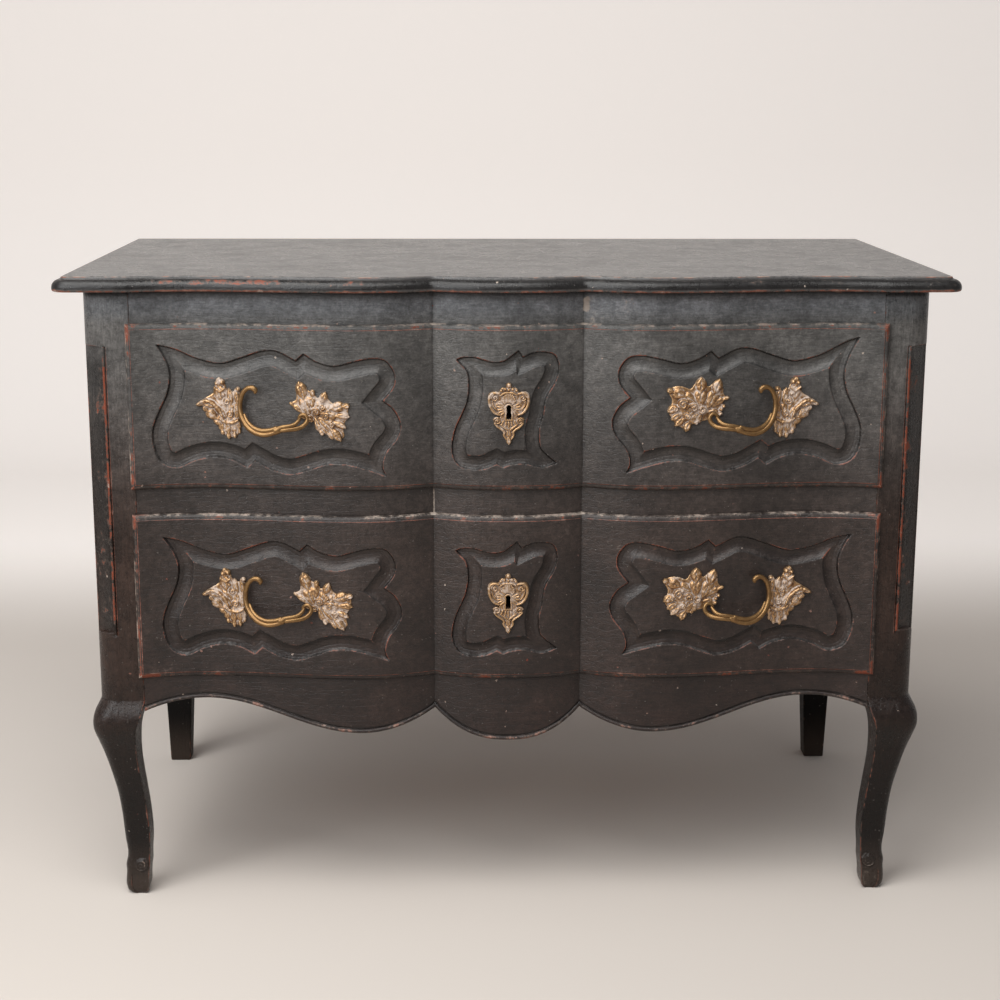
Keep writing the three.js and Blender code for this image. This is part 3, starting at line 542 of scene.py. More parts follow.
# One paint, worn and handled differently: glossiest on the front posts and the top, duller on the
# drawers, the rails and the sides, dullest behind. Each copy's tones by height carry painted light:
# darker towards the floor as painted shade and lighter and cooler higher up as a painted sheen
front_paint = black_paint(
    "black_milk_paint_across", "X", 0.6, ("#1e100c", "#2f2622", "#504f4d", "#6c6f73"), 0.36, 0.48, 0.44,
)
top_paint = black_paint(
    "black_milk_paint_top", "X", 0.75, ("#1b1311", "#2b2522", "#504d4c", "#545251"), 0.25, 0.42, 0.4,
    calm=0.06, unevenness=0.6,
)
post_paint = black_paint(
    "black_milk_paint_upright", "Z", 0.55, ("#0b0402", "#332620", "#575654", "#696c6f"), 0.22, 0.38, 0.3,
)
side_paint = black_paint(
    "black_milk_paint_sides", "Y", 0.5, ("#19120f", "#26201d", "#34302d", "#34302d"), 0.4, 0.52, 0.35,
)
rear_paint = black_paint(
    "black_milk_paint_rear", "Z", 0.35, ("#060403", "#120d0b", "#2c2826", "#2c2826"), 0.5, 0.62, 0.14,
)
pine_up = planed_wood("old_pine_upright", "Z", "#9b7650", "#6d4d30", 0.9)
pine_up_darker = planed_wood("old_pine_upright_darker", "Z", "#876441", "#5d4128", 0.9)
pine_across = planed_wood("old_pine_across", "X", "#9b7650", "#6d4d30", 0.9)
pine_back = planed_wood("old_pine_front_to_back", "Y", "#94704b", "#65472c", 0.9)
beech_across = planed_wood("planed_beech_across", "X", "#b48a60", "#8a6340", 0.6)
beech_back = planed_wood("planed_beech_front_to_back", "Y", "#b48a60", "#8a6340", 0.6)
brass = gilt_brass()
iron = wrought_iron()


# The top: a slab with a thumbnail moulding, in two boards

MOULDING_DEPTH = 16
FLAT_RISE = 19.95
SLAB_INSET = 0.1
CORNER_RADIUS = 22
CORNER_STEPS = 14


def moulding_profile():
    """How far each line of the moulding stands in from the slab's edge, and its height."""
    lower = [(5.0, 0.0), (2.6, 0.15), (1.1, 0.9), (0.3, 2.2), (0.0, 3.6)]
    bulge = []
    for turn in np.linspace(0, math.pi / 2, 12):
        bulge.append((11.8 * (1 - math.cos(turn)), 5.0 + 11.2 * math.sin(turn)))
    fillet = [(12.1, 16.6), (12.3, 17.6), (12.6, 18.7), (13.4, 19.5), (14.6, 19.9), (MOULDING_DEPTH, 20)]
    return lower + bulge + fillet


def slab_ring(inset, z):
    """The top's outline from its left rear corner round the front, drawn in by an inset."""
    side = TOP_HALF - inset
    radius = CORNER_RADIUS - inset

    def front(x):
        return SLAB_CORNER + SLAB_INSET + inset + crossbow(x, PLAN_LEVELS)

    left = [(-side, TOP_REAR)]
    for turn in np.linspace(0, math.pi / 2, CORNER_STEPS + 1):
        x = -side + radius * (1 - math.cos(turn))
        left.append((x, float(front(x)) + radius * (1 - math.sin(turn))))
    middle = [(x, float(front(x))) for x in stations(LINE_END, 6)]
    right = [(-x, y) for x, y in reversed(left)]
    return [(x, y, z) for x, y in left + middle + right]


def moulding_marks(points):
    """The moulding is scuffed red on its bulge, most of all left of the middle, and on its foot, and
    its upper arris is worn pale. Its bulge is darkened as painted shade. The flat of the top keeps
    its paint."""
    x, y, z = points.T
    rise = z - TOP_UNDERSIDE
    inset = np.minimum(TOP_HALF - np.abs(x), y - SLAB_CORNER - crossbow(x, PLAN_LEVELS))
    edge = inset < MOULDING_DEPTH + 1
    bulge = edge * ease(rise, 8, 11) * (1 - ease(rise, 15, 17))
    foot = edge * (1 - ease(rise, 2.6, 4.4))
    arris = edge * ease(rise, 18.2, 19.2)
    scuff = bulge * (0.36 * ease(x, -520, -470) - 0.28 * ease(x, -300, -60)) + 0.3 * foot
    flat = rise > FLAT_RISE
    chalk = np.where(flat, 0, 0.46 * arris + 0.4 * foot)
    # Painted shade over the moulding's bulge, between its foot and its fillet
    grime = 0.92 * edge * (1 - ease(rise, 15.5, 18)) * ease(rise, 2, 5)
    return np.where(flat, -1, scuff), chalk, grime


def top_boards():
    """The moulded slab, cut into its two boards, with the joint's arrises eased."""
    rings = [slab_ring(inset, TOP_UNDERSIDE + height) for inset, height in moulding_profile()]
    points, faces = loft(rings)
    for name, keep_front in (("top_front_board", True), ("top_rear_board", False)):
        shape = shaped(points, faces)
        plane = BOARD_JOINT if keep_front else BOARD_JOINT + JOINT_GAP
        bmesh.ops.bisect_plane(
            shape, geom=shape.verts[:] + shape.edges[:] + shape.faces[:], dist=1e-5,
            plane_co=(0, plane, 0), plane_no=(0, 1, 0),
            clear_outer=keep_front, clear_inner=not keep_front,
        )
        rim = [edge for edge in shape.edges if edge.is_boundary]
        bmesh.ops.holes_fill(shape, edges=rim, sides=0)
        at_joint = [
            edge for edge in shape.edges
            if all(abs(v.co.y - plane) < 0.01 and v.co.z > TOP_SURFACE - 0.01 for v in edge.verts)
        ]
        bmesh.ops.bevel(shape, geom=at_joint, offset=0.9, segments=2, profile=0.5, affect="EDGES")
        made_points, made_faces = unshaped(shape)
        scuff, chalk, grime = moulding_marks(np.array(made_points))
        piece(name, "moulded", made_points, made_faces, top_paint, scuff=scuff, chalk=chalk, grime=grime)


top_boards()


# The front rails

RAIL_DEPTH = 50
RAIL_STEP = 3
RAIL_LINES = 9
JOINT_GAP_FRONT = 0.3
APRON_BEAD = 5.6
APRON_BEAD_PROUD = 2.0


def rail(name, ring_at, marks):
    """A rail from its section at every place across, with painted shade in the cusps of the front."""
    half = OPENING_HALF - JOINT_GAP_FRONT
    rings = []
    for x in stations(half, RAIL_STEP):
        rings.append([(x, y, z) for y, z in ring_at(x)])
    points, faces = loft(rings)
    x, y, z = points.T
    chalk, grime = marks(x, y, z)
    # Painted shade in the creases of the cusps
    grime = grime + 0.35 * near(np.abs(x), CUSP_X, 2.5)
    piece(name, "planed", points, faces, front_paint, chalk=chalk, grime=grime)


def plain_rail(bottom, top, x):
    front = float(face_y(x))
    back = CASE_FRONT + RAIL_DEPTH
    middle = [(front, z) for z in np.linspace(bottom + 1.2, top - 1.2, RAIL_LINES)]
    return [
        (back, bottom), (front + 1.2, bottom), (front + 0.35, bottom + 0.35), *middle,
        (front + 0.35, top - 0.35), (front + 1.2, top), (back, top),
    ]


def apron_rail(top, x):
    front = float(face_y(x))
    back = CASE_FRONT + RAIL_DEPTH
    low = float(crossbow(x, APRON_LEVELS))
    step = 0.5
    slope = float(crossbow(x + step, APRON_LEVELS) - crossbow(x - step, APRON_LEVELS)) / (2 * step)
    if abs(abs(x) - CUSP_X) < step:
        slope = float(crossbow(abs(x) + 2 * step, APRON_LEVELS) - APRON_LEVELS["cusp"]) / step
    stretch = math.hypot(1, slope)
    size = APRON_BEAD * stretch
    ring = [(back, low), (front + 2.4, low)]
    for turn in np.linspace(-math.pi / 2, math.pi / 2, 8):
        ring.append((
            front + 0.8 - (APRON_BEAD_PROUD + 0.8) * math.cos(turn),
            low + size / 2 * (1 + math.sin(turn)),
        ))
    ring += [(front + 1.0, low + size + 0.4), (front, low + size + 1.4)]
    ring += [(front, z) for z in np.linspace(low + size + 4, top - 1.2, RAIL_LINES)]
    ring += [(front + 0.35, top - 0.35), (front + 1.2, top), (back, top)]
    return ring


FILLER_LOW = 833
FILLER_HIGH = 847


def front_rails():
    """The rails, with chalky filler in the top rail's right cusp, the middle rail's left cusp and
    along the apron's bead, painted shadow under the top and under the lips, and painted shade in
    the bead's quirk."""
    low, high = corners("front_top_rail")
    bottom, top = corners("front_middle_rail")
    apron_top = corners("front_apron")[1][2]

    def top_marks(x, y, z):
        filled = near(x, CUSP_X + 2, 4) * ease(z, FILLER_LOW - 3, FILLER_LOW)
        filled *= 1 - ease(z, FILLER_HIGH, FILLER_HIGH + 3)
        crazed = 0.3 * ease(x, CUSP_X, CUSP_X + 4) * (1 - ease(x, CUSP_X + 30, CUSP_X + 130))
        chalk = 0.8 * filled + crazed + 0.2 * near(x, -CUSP_X, 5)
        # The second value is painted shadow under the top's overhang
        return chalk, 0.97 * ease(z, high[2] - 9, high[2] - 5)

    def middle_marks(x, y, z):
        chalk = 0.48 * near(x, -CUSP_X, 1.7) + 0.2 * near(x, CUSP_X, 3)
        # The second value is painted shadow under the upper drawer's lip
        return chalk, 0.8 * ease(z, top[2] - 9, top[2] - 3)

    def bead_marks(x, y, z):
        rise = z - crossbow(x, APRON_LEVELS)
        proud = ease(face_y(x) - y, 0.2, 1.0)
        chalk = proud * (0.3 - 0.26 * (1 - ease(rise, 0.4, 1.6)))
        # Painted shade in the bead's quirk, and painted shadow under the lower drawer's lip
        quirk = 0.8 * near(rise, APRON_BEAD + 1.6, 1.4)
        return chalk, quirk + 0.6 * ease(z, apron_top - 9, apron_top - 3)

    rail("front_top_rail", lambda x: plain_rail(low[2], high[2], x), top_marks)
    rail("front_middle_rail", lambda x: plain_rail(bottom[2], top[2], x), middle_marks)
    rail("front_apron", lambda x: apron_rail(apron_top, x), bead_marks)


front_rails()


# The front posts, each in one timber with its curved leg

# Height, outer face, inner face and corner radius of a leg, from the post's outer face inwards
LEG_TABLE = [
    (0, 31, 50, 9.5),
    (3, 27.6, 53.8, 9.5),
    (10, 25, 56.6, 9),
    (24, 24.9, 57.6, 8.3),
    (34, 25.6, 58.4, 8.6),
    (42.9, 25.2, 59.6, 9),
    (54.8, 27.5, 60, 9.6),
    (85.8, 25.3, 61.4, 10.2),
    (121.4, 22.4, 59.5, 11.5),
    (153.9, 17.9, 56, 12.8),
    (180.6, 11.8, 52.5, 14.1),
    (207.2, 4.5, 49.9, 16),
    (230.9, -3.2, 49.6, 17.9),
    (254.6, -9.9, 52.5, 21.1),
    (267.9, -9.6, 57, 24.3),
    (278, -6.4, 60.6, 25.2),
    (284.2, -3.2, 62.1, 25.6),
    (289, -0.9, 63.4, 26),
    (291, 0, 64, 27),
]
KNEE_LINE = 291
CORNER_ROUND = 30
CANT_TOP = 785
CANT_FOOT = 384
CANT_ARCH = 7
CANT_SETBACK = 26
LEG_FRONT_SHARE = 0.5
ARRIS = 1.6
SCROLL_HEIGHT = 44
SCROLL_RADIUS = 9.5
SCROLL_PITCH = 4.6
FOOT_CARVING_TOP = 66
FACE_POINTS = 18


def arc(centre, radius, start, end, count):
    turns = np.linspace(start, end, count)
    return [(centre[0] + radius * math.cos(t), centre[1] + radius * math.sin(t)) for t in turns]


def straight(start, end, count):
    return [tuple(p) for p in np.linspace(start, end, count)]


def corner_line(radius, inset):
    """The rounded corner between the front face and the outer side, in (in, back) places."""
    return arc((inset[0] + radius, inset[1] + radius), radius, -math.pi / 2, -math.pi, 18)


def cant_line(height):
    """The sunk cant with a bead along its front arris, or the round corner where it has ended."""
    plain = np.array(corner_line(CORNER_ROUND, (0, 0)))
    bead = arc((28.2, 1.3), 2.1, -0.25 * math.pi, -1.1 * math.pi, 6)
    sunk = [(31.5, 0), (30.9, 0.9), (30.3, 1.5)] + bead
    start = (CANT_SETBACK - 0.6, 2.2)
    end = (2.0, CANT_SETBACK + 0.2)
    sunk += straight(start, end, 7)
    sunk += [(0.6, CANT_SETBACK + 1.0), (0, CANT_SETBACK + 2.4)]
    sunk = np.array(sunk)
    across = np.linspace(-1, 1, len(plain))
    foot = CANT_FOOT + CANT_ARCH * (1 - across ** 2)
    inside = ease(height, foot - 1.6, foot + 0.2) * (1 - ease(height, CANT_TOP - 0.2, CANT_TOP + 1.4))
    return plain + (sunk - plain) * inside[:, None]


def post_outline(height, outer, inner, radius, front):
    """The outline of a front post at one height, as places in from its side and back from its face."""
    back = front + inner - outer
    face_end = outer + radius if height <= KNEE_LINE else 31.5
    face = straight((inner - ARRIS, front), (face_end + 0.4, front), FACE_POINTS)
    if height > KNEE_LINE:
        corner = [tuple(p) for p in cant_line(height)]
    else:
        corner = corner_line(radius, (outer, front))
    side = straight((outer, corner[-1][1] + 0.4), (outer, back - ARRIS), 6)
    rear = straight((outer + ARRIS, back), (inner - ARRIS, back), 5)
    inside = straight((inner, back - ARRIS), (inner, front + ARRIS), 10)
    nose = [(inner - 0.25 * ARRIS, front + 0.25 * ARRIS)]
    return face + corner + side + rear + inside + nose


def scroll_relief(across, height):
    """The foot's small volute and the block below it, as millimetres proud of the face."""
    radius = np.hypot(across, height - SCROLL_HEIGHT)
    turn = np.arctan2(height - SCROLL_HEIGHT, across)
    spiral = (radius - SCROLL_PITCH * turn / (2 * math.pi)) / SCROLL_PITCH
    ridge = 0.5 + 0.5 * np.cos(2 * math.pi * spiral)
    disc = 1 - ease(radius, SCROLL_RADIUS - 1.2, SCROLL_RADIUS + 0.4)
    throat = -1.0 * np.exp(-((radius - SCROLL_RADIUS - 1.2) / 1.6) ** 2)
    block = -1.1 * (1 - ease(height, 29, 32))
    return disc * (1.0 + 1.6 * ridge) + throat + block


def front_post(word, side):
    """A post and its leg as rings from the floor up. The foot is carved, the leg's inner arris is
    chalky, the cant is scuffed and darkened as painted shade, and the post's top has a painted
    shadow under the top's overhang."""
    leg = np.concatenate([
        np.arange(0, 66, 1.5), np.arange(66, 240, 6), np.arange(240, KNEE_LINE, 3), [KNEE_LINE],
    ])
    cant = np.concatenate([
        [292.2, 293.5, 300, 330, 360, 375, 380],
        np.arange(382, 394, 1.0), np.arange(398, 780, 24), [783, 784.4, 784.8],
        np.arange(785.2, 787, 0.4), [790, 800, 820, 840, 846, 850, 854, POST_TOP - 1, POST_TOP],
    ])
    rings = []
    shape = through(LEG_TABLE, leg)
    for height, (outer, inner, radius) in zip(leg, shape):
        front = outer * LEG_FRONT_SHARE if outer > 0 else outer
        rings.append((height, post_outline(height, outer, inner, radius, front), outer, inner, radius))
    for height in cant:
        groove = 0.8 * math.exp(-((height - 293) / 1.0) ** 2)
        outline = post_outline(height, groove, POST_WIDTH, CORNER_ROUND, groove)
        rings.append((height, outline, 0, POST_WIDTH, CORNER_ROUND))
    solid = []
    chalk = []
    scuff = []
    grime = []
    for height, outline, outer, inner, radius in rings:
        ring = np.array(outline)
        worn = np.zeros(len(ring))
        if height < FOOT_CARVING_TOP:
            face = ring[:FACE_POINTS]
            middle = (inner + outer + radius) / 2 + 1
            proud = scroll_relief(face[:, 0] - middle, height) * 0.9
            ring[:FACE_POINTS, 1] = face[:, 1] - proud
            worn[:FACE_POINTS] = 0.34 * ease(proud, 1.4, 2.2)
            worn += 0.3 * (1 - ease(height, 26, 60))
        if height < KNEE_LINE:
            worn[[0, -1]] += 0.24 * ease(height, 60, 90)
        solid.append([(side * (CASE_HALF - u), CASE_FRONT + v, height) for u, v in ring])
        chalk.append(worn)
        cant = ease(height, CANT_FOOT, CANT_FOOT + 20) * (1 - ease(height, CANT_TOP - 20, CANT_TOP))
        corner = near(np.arange(len(ring)), FACE_POINTS + 9, 9)
        scuff.append(0.3 * cant * corner)
        # Painted shade on the cant, and painted shadow under the top's overhang
        grime.append(0.75 * cant * corner + 0.97 * ease(height, POST_TOP - 9, POST_TOP - 5))
    points, faces = loft(solid)
    piece(
        "front_post_" + word, "carved", points, faces, post_paint,
        scuff=np.concatenate(scuff), chalk=np.concatenate(chalk), grime=np.concatenate(grime),
    )


for word, side in SIDES:
    front_post(word, side)


# Pegs through the front joints, whittled and driven flush

PEG_STEPS = 18


def peg(name, seed):
    """A peg that was whittled a little out of round."""
    low, high = corners(name)
    middle = (low + high) / 2
    radius = (high[0] - low[0]) / 2
    random = np.random.default_rng(seed)
    wobble = 1 - 0.09 * random.random(PEG_STEPS)
    front = low[1]
    rings = []
    for y, share in (
        (high[1], 0.9), (front + 0.9, 1.0), (front + 0.3, 0.92), (front, 0.6), (front + 0.1, 0.2),
    ):
        ring = []
        for step in range(PEG_STEPS):
            turn = 2 * math.pi * step / PEG_STEPS
            reach = radius * share * wobble[step]
            ring.append((middle[0] + reach * math.cos(turn), y, middle[2] + reach * math.sin(turn)))
        rings.append(ring)
    points, faces = loft(rings)
    piece(name, "whittled", points, faces, post_paint, scuff=-1)


for index, place in enumerate(("top_upper", "top_lower", "bottom")):
    for word in ("left", "right"):
        peg(f"peg_{place}_{word}", 10 * index + len(word))


# Sides and rear posts

REAR_TAPER_OUTER = 8
REAR_TAPER_INNER = 15
REAR_POST_WIDTH = 56
SIDE_RAIL_BOTTOM = corners("side_bottom_rail_right")[0][2]
SIDE_SETBACK = 3
SIDE_THICKNESS = 22


def eased(points, faces, easing):
    """Points and faces with their sharp arrises rounded."""
    shape = shaped(points, faces)
    bmesh.ops.recalc_face_normals(shape, faces=shape.faces)
    sharp = [edge for edge in shape.edges if edge.is_manifold and edge.calc_face_angle() > 0.5]
    bmesh.ops.bevel(shape, geom=sharp, offset=easing, segments=3, profile=0.5, affect="EDGES")
    hold_wear(shape)
    return unshaped(shape)


def rear_post(word, side):
    """A square post whose leg tapers on all four faces, most on the inner two."""
    front = CASE_BACK - REAR_POST_WIDTH
    inner = CASE_HALF - REAR_POST_WIDTH
    rings = []
    for height, share in ((0, 1), (SIDE_RAIL_BOTTOM, 0), (POST_TOP, 0)):
        outer_cut = REAR_TAPER_OUTER * share
        inner_cut = REAR_TAPER_INNER * share
        rings.append([
            (side * (CASE_HALF - outer_cut), front + inner_cut, height),
            (side * (inner + inner_cut), front + inner_cut, height),
            (side * (inner + inner_cut), CASE_BACK - outer_cut, height),
            (side * (CASE_HALF - outer_cut), CASE_BACK - outer_cut, height),
        ])
    piece("rear_post_" + word, "eased", *eased(*loft(rings), 2.0), rear_paint)


def side_frame(word, side):
    """A side's two rails and its panel, set back a little from the posts."""
    front = CASE_FRONT + POST_WIDTH + JOINT_GAP_FRONT
    back = CASE_BACK - REAR_POST_WIDTH - JOINT_GAP_FRONT
    outer = side * (CASE_HALF - SIDE_SETBACK)
    inner = side * (CASE_HALF - SIDE_SETBACK - SIDE_THICKNESS)
    for place in ("top", "bottom"):
        name = f"side_{place}_rail_{word}"
        low, high = corners(name)
        board(name, (inner, front, low[2]), (outer, back, high[2]), side_paint, 2.0)
    panel = f"side_panel_{word}"
    board(panel, *corners(panel), side_paint, 1.0)


for word, side in SIDES:
    rear_post(word, side)
    side_frame(word, side)


# The carved cartouches of the drawer fronts

# Outlines as smooth lines between sharp corners, in places across from the handle's middle (or from
# the middle of the chest) and up from the drawer's middle
SIDE_CARTOUCHE = [
    [(-151, 83), (-127, 78), (-99.5, 66.5), (-69.5, 60), (-41.5, 67.5), (-13, 76.5), (7, 76.5), (32, 64)],
    [(32, 64), (42.5, 73.5)],
    [(42.5, 73.5), (60, 62.5), (82.5, 57), (108, 62.5), (133.5, 66.5), (151.5, 62.5), (162.5, 45.5),
     (161, 27.5), (147, 9.5)],
    [(147, 9.5), (161, -3.5), (169.5, -24), (164.5, -42.5), (150, -60.5), (144.5, -79), (149.5, -93.5)],
    [(149.5, -93.5), (126.5, -84.5), (96, -76), (70, -76), (44.5, -84), (21, -89.5), (-4.5, -84),
     (-27, -72)],
    [(-27, -72), (-38, -81.5)],
    [(-38, -81.5), (-58, -71), (-83.5, -67), (-109, -72), (-132.5, -81), (-153, -73), (-162, -52.5),
     (-162.5, -28.5), (-154, -5.5), (-141.5, 20.5), (-137, 46), (-142, 66.5), (-151, 83)],
]
CENTRE_CARTOUCHE = [
    [(-70.5, 64.5), (-62, 68), (-47, 68.5), (-32.5, 64.5), (-20.5, 62), (-6.5, 63.5), (5.5, 71.5),
     (13.5, 77.5)],
    [(13.5, 77.5), (19.5, 68.5)],
    [(19.5, 68.5), (32.5, 74), (48, 75), (61, 71.5), (67, 62), (68, 48.5), (63, 33), (51, 12.5),
     (46.5, -11.5), (41.5, -30), (42, -48), (46.5, -59), (66, -76.5)],
    [(66, -76.5), (51.5, -81), (39.5, -81), (21.5, -76), (3.5, -77), (-8.5, -81)],
    [(-8.5, -81), (-17, -76)],
    [(-17, -76), (-32.5, -82.5), (-50.5, -84), (-65, -81), (-74.5, -71), (-78, -54), (-73, -29.5),
     (-65, -11.5), (-57.5, 6.5), (-54, 28.5), (-56.5, 48.5), (-66, 59.5), (-70.5, 64.5)],
]
CURVE_STEPS = 6
SIDE_BAND = 21
CENTRE_BAND = 19.5
WALL_WIDTH = 1.5
WALL_DEPTH = 5.0
FLOOR_SHARE = 0.34
FLOOR_DEPTH = 5.6
FILLET_SHARE = 0.95
FILLET_DEPTH = 0.8
COVE_POWER = 2.4
TIP_REACH = 26
# How each cartouche strays from its place: across, up, turn in degrees, stretch across, and how far
# its outer top tip reaches outwards and up
HAND_CUT = {
    "upper": [(0, 0.1, 0.6, 1.0, 2, 3), (0, 1, 0.4, 0.985, 0, 0), (-3, 3, -0.8, 1.015, 4, 10)],
    "lower": [(1.5, 1.5, 1.6, 0.985, 5, 4), (0, 2.5, 1.2, 1.0, 0, 0), (-2, 6, -2.4, 1.015, 1, 3)],
}


def outline_of(arcs, mirror, stray, centre):
    """A cartouche's outline, mirrored for the right side, strayed as it was cut and put in its place."""
    points = []
    for part in arcs:
        line = smooth_line(part, CURVE_STEPS) if len(part) > 2 else np.array(part, float)
        points.append(line[:-1])
    outline = np.vstack(points)
    across, up, degrees, stretch, tip_out, tip_up = stray
    pull = near(np.hypot(*(outline - outline[0]).T), 0, TIP_REACH)
    outline = outline + pull[:, None] * (-tip_out, tip_up)
    if mirror:
        outline = outline[::-1] * (-1, 1)
    turn = math.radians(degrees)
    x, z = outline.T * np.array([[stretch], [1]])
    turned_x = x * math.cos(turn) - z * math.sin(turn)
    turned_z = x * math.sin(turn) + z * math.cos(turn)
    return np.stack([turned_x, turned_z], axis=1) + (centre[0] + across, centre[1] + up)


# So many places are measured at once, to spare memory
BATCH = 4000


def depth_inside(outline, x, z):
    """How far each place lies inside an outline, with mitred corners, and below 0 outside it."""
    start = outline
    run = np.roll(outline, -1, axis=0) - start
    length = np.hypot(run[:, 0], run[:, 1])
    unit = run / length[:, None]
    flat = np.stack([x.ravel(), z.ravel()], axis=1)
    made = np.empty(len(flat))
    count = len(outline)
    for low in range(0, len(flat), BATCH):
        part = flat[low:low + BATCH]
        away = part[:, None, :] - start[None]
        share = np.clip((away * unit[None]).sum(axis=2), 0, length[None])
        gap = away - share[..., None] * unit[None]
        distance = np.hypot(gap[..., 0], gap[..., 1])
        nearest = distance.argmin(axis=1)
        rows = np.arange(len(part))
        best = distance[rows, nearest]
        across = away[:, :, 0] * unit[None, :, 1] - away[:, :, 1] * unit[None, :, 0]
        at_start = share[rows, nearest] <= 1e-9
        at_end = share[rows, nearest] >= length[nearest] - 1e-9
        other = np.where(at_start, (nearest - 1) % count, (nearest + 1) % count)
        mitred = np.maximum(np.abs(across[rows, nearest]), np.abs(across[rows, other]))
        best = np.where(at_start | at_end, mitred, best)
        x0, z0 = start.T
        z1 = z0 + run[:, 1]
        px, pz = part[:, :1], part[:, 1:]
        spans = (z0[None] > pz) != (z1[None] > pz)
        rise = np.where(np.abs(run[:, 1]) < 1e-9, 1e-9, run[:, 1])
        crossing = x0[None] + (pz - z0[None]) / rise[None] * run[None, :, 0]
        inside = (spans & (px < crossing)).sum(axis=1) % 2 == 1
        made[low:low + BATCH] = np.where(inside, best, -best)
    return made.reshape(x.shape)


def carved_groove(depth, band):
    """A steep wall, a nearly flat floor, a cove that steepens up to the field and a fine line round
    the field: how far each place is sunk, and how much painted shade darkens it."""
    floor_end = FLOOR_SHARE * band
    fillet_at = FILLET_SHARE * band
    wall = WALL_DEPTH * ease(depth, -0.3, WALL_WIDTH)
    floor = (FLOOR_DEPTH - WALL_DEPTH) * np.clip((depth - WALL_WIDTH) / (floor_end - WALL_WIDTH), 0, 1)
    rise = np.clip((depth - floor_end) / (fillet_at - floor_end), 0, 1)
    cove = (FLOOR_DEPTH - FILLET_DEPTH) * rise ** COVE_POWER
    fillet = FILLET_DEPTH * ease(depth, fillet_at, band)
    quirk = 0.35 * near(depth, floor_end, 0.8) + 0.5 * near(depth, fillet_at, 0.6)
    inside = (depth > -0.3) & (depth < band)
    sunk = (wall + floor - cove - fillet + quirk) * inside
    # Painted shade along the wall, in the floor's quirk and at the fine line round the field
    grime = 0.8 * near(depth, 0.7, 0.9) + 0.15 * near(depth, floor_end, 0.9)
    grime += 0.8 * near(depth, fillet_at, 0.9)
    return sunk, np.clip(grime, 0, 1) * inside


# Drawer fronts

LIP_GAP = 0.5
LIP_THICKNESS = 9
LIP_MOULDING = 6.2
LIP_EDGE = 7.4
LIP_FILLET = 1.0
LIP_OVERLAP = 6
FACE_STEP = 1.05
HANDLE_X = corners("upper_drawer_front")[1][0] - 194
EDGE_STEPS = [0, 0.25, 0.7, 1.4, 2.3, 3.3, 4.4, 5.4, 6.0, 6.2, 6.6, 7.0, 7.8]
KEYHOLE_RADIUS = 3.2
KEYHOLE_DROP = 15.8
KEYHOLE_NARROW = 5.4
KEYHOLE_WIDE = 7
KEYHOLE_LIFT = 2.5
KEYHOLE_CLEARANCE = 1.5
WINDOW_HALF = 3.6
CORE_SINK = 2
FRONT_BACK_SETBACK = 30
SIDE_LAP = 13
DRAWER_SIDE = 12


def drawer_face_y(x):
    """Where a drawer's plain face lies."""
    return face_y(x) - LIP_GAP - LIP_THICKNESS


def face_lines(low, high, knots=()):
    """Grid lines across a drawer front: close at its moulded edge and even between."""
    inner_low = low + EDGE_STEPS[-1]
    inner_high = high - EDGE_STEPS[-1]
    stops = [inner_low, *sorted(knots), inner_high]
    lines = [low + step for step in EDGE_STEPS[:-1]] + [high - step for step in EDGE_STEPS[:-1]]
    for start, end in zip(stops, stops[1:]):
        steps = max(1, round((end - start) / FACE_STEP))
        lines += list(np.linspace(start, end, steps + 1))
    return np.unique(np.round(lines, 5))


def keyhole_outline(z, growth=0.0):
    """A round eye over a flaring slot."""
    radius = KEYHOLE_RADIUS + growth
    narrow = KEYHOLE_NARROW / 2 + growth
    wide = KEYHOLE_WIDE / 2 + growth
    opening = math.asin(narrow / radius)
    turns = np.linspace(-math.pi / 2 + opening, 1.5 * math.pi - opening, 24)
    outline = [(radius * math.cos(t), z + radius * math.sin(t)) for t in turns]
    return outline + [(-wide, z - KEYHOLE_DROP - growth), (wide, z - KEYHOLE_DROP - growth)]


def keyhole_cutter(z, front, back):
    """A keyhole's shape from front to back, a little wider than the plate's own."""
    outline = keyhole_outline(z, KEYHOLE_CLEARANCE)
    return raw_object("keyhole", *loft([[(x, y, height) for x, height in outline] for y in (front, back)]))


def cut(made, cutter):
    """Cuts one piece by another, which is then removed."""
    step = made.modifiers.new("cut", "BOOLEAN")
    step.operation = "DIFFERENCE"
    step.solver = "EXACT"
    step.object = cutter
    graph = bpy.context.evaluated_depsgraph_get()
    mesh = bpy.data.meshes.new_from_object(made.evaluated_get(graph))
    made.modifiers.clear()
    made.data = mesh
    bpy.data.objects.remove(cutter)


# Mortises for the thrown bolts of the locks

BOLT_THROW = 9


def bolt_mortise(rail_name, bolt):
    """The mortise under a rail that the thrown bolt of the lock below fills."""
    low, high = corners(bolt)
    low, high = low - DRAWER_CLEARANCE, high + DRAWER_CLEARANCE
    bottom = corners(rail_name)[0][2]
    plan = [(low[0], low[1]), (high[0], low[1]), (high[0], high[1]), (low[0], high[1])]
    levels = (bottom - 1, bottom + BOLT_THROW + DRAWER_CLEARANCE)
    cutter = raw_object("mortise", *loft([[(x, y, level) for x, y in plan] for level in levels]))
    cut(bpy.data.objects[rail_name + "_planed"], cutter)


bolt_mortise("front_top_rail", "upper_lock_bolt")
bolt_mortise("front_middle_rail", "lower_lock_bolt")


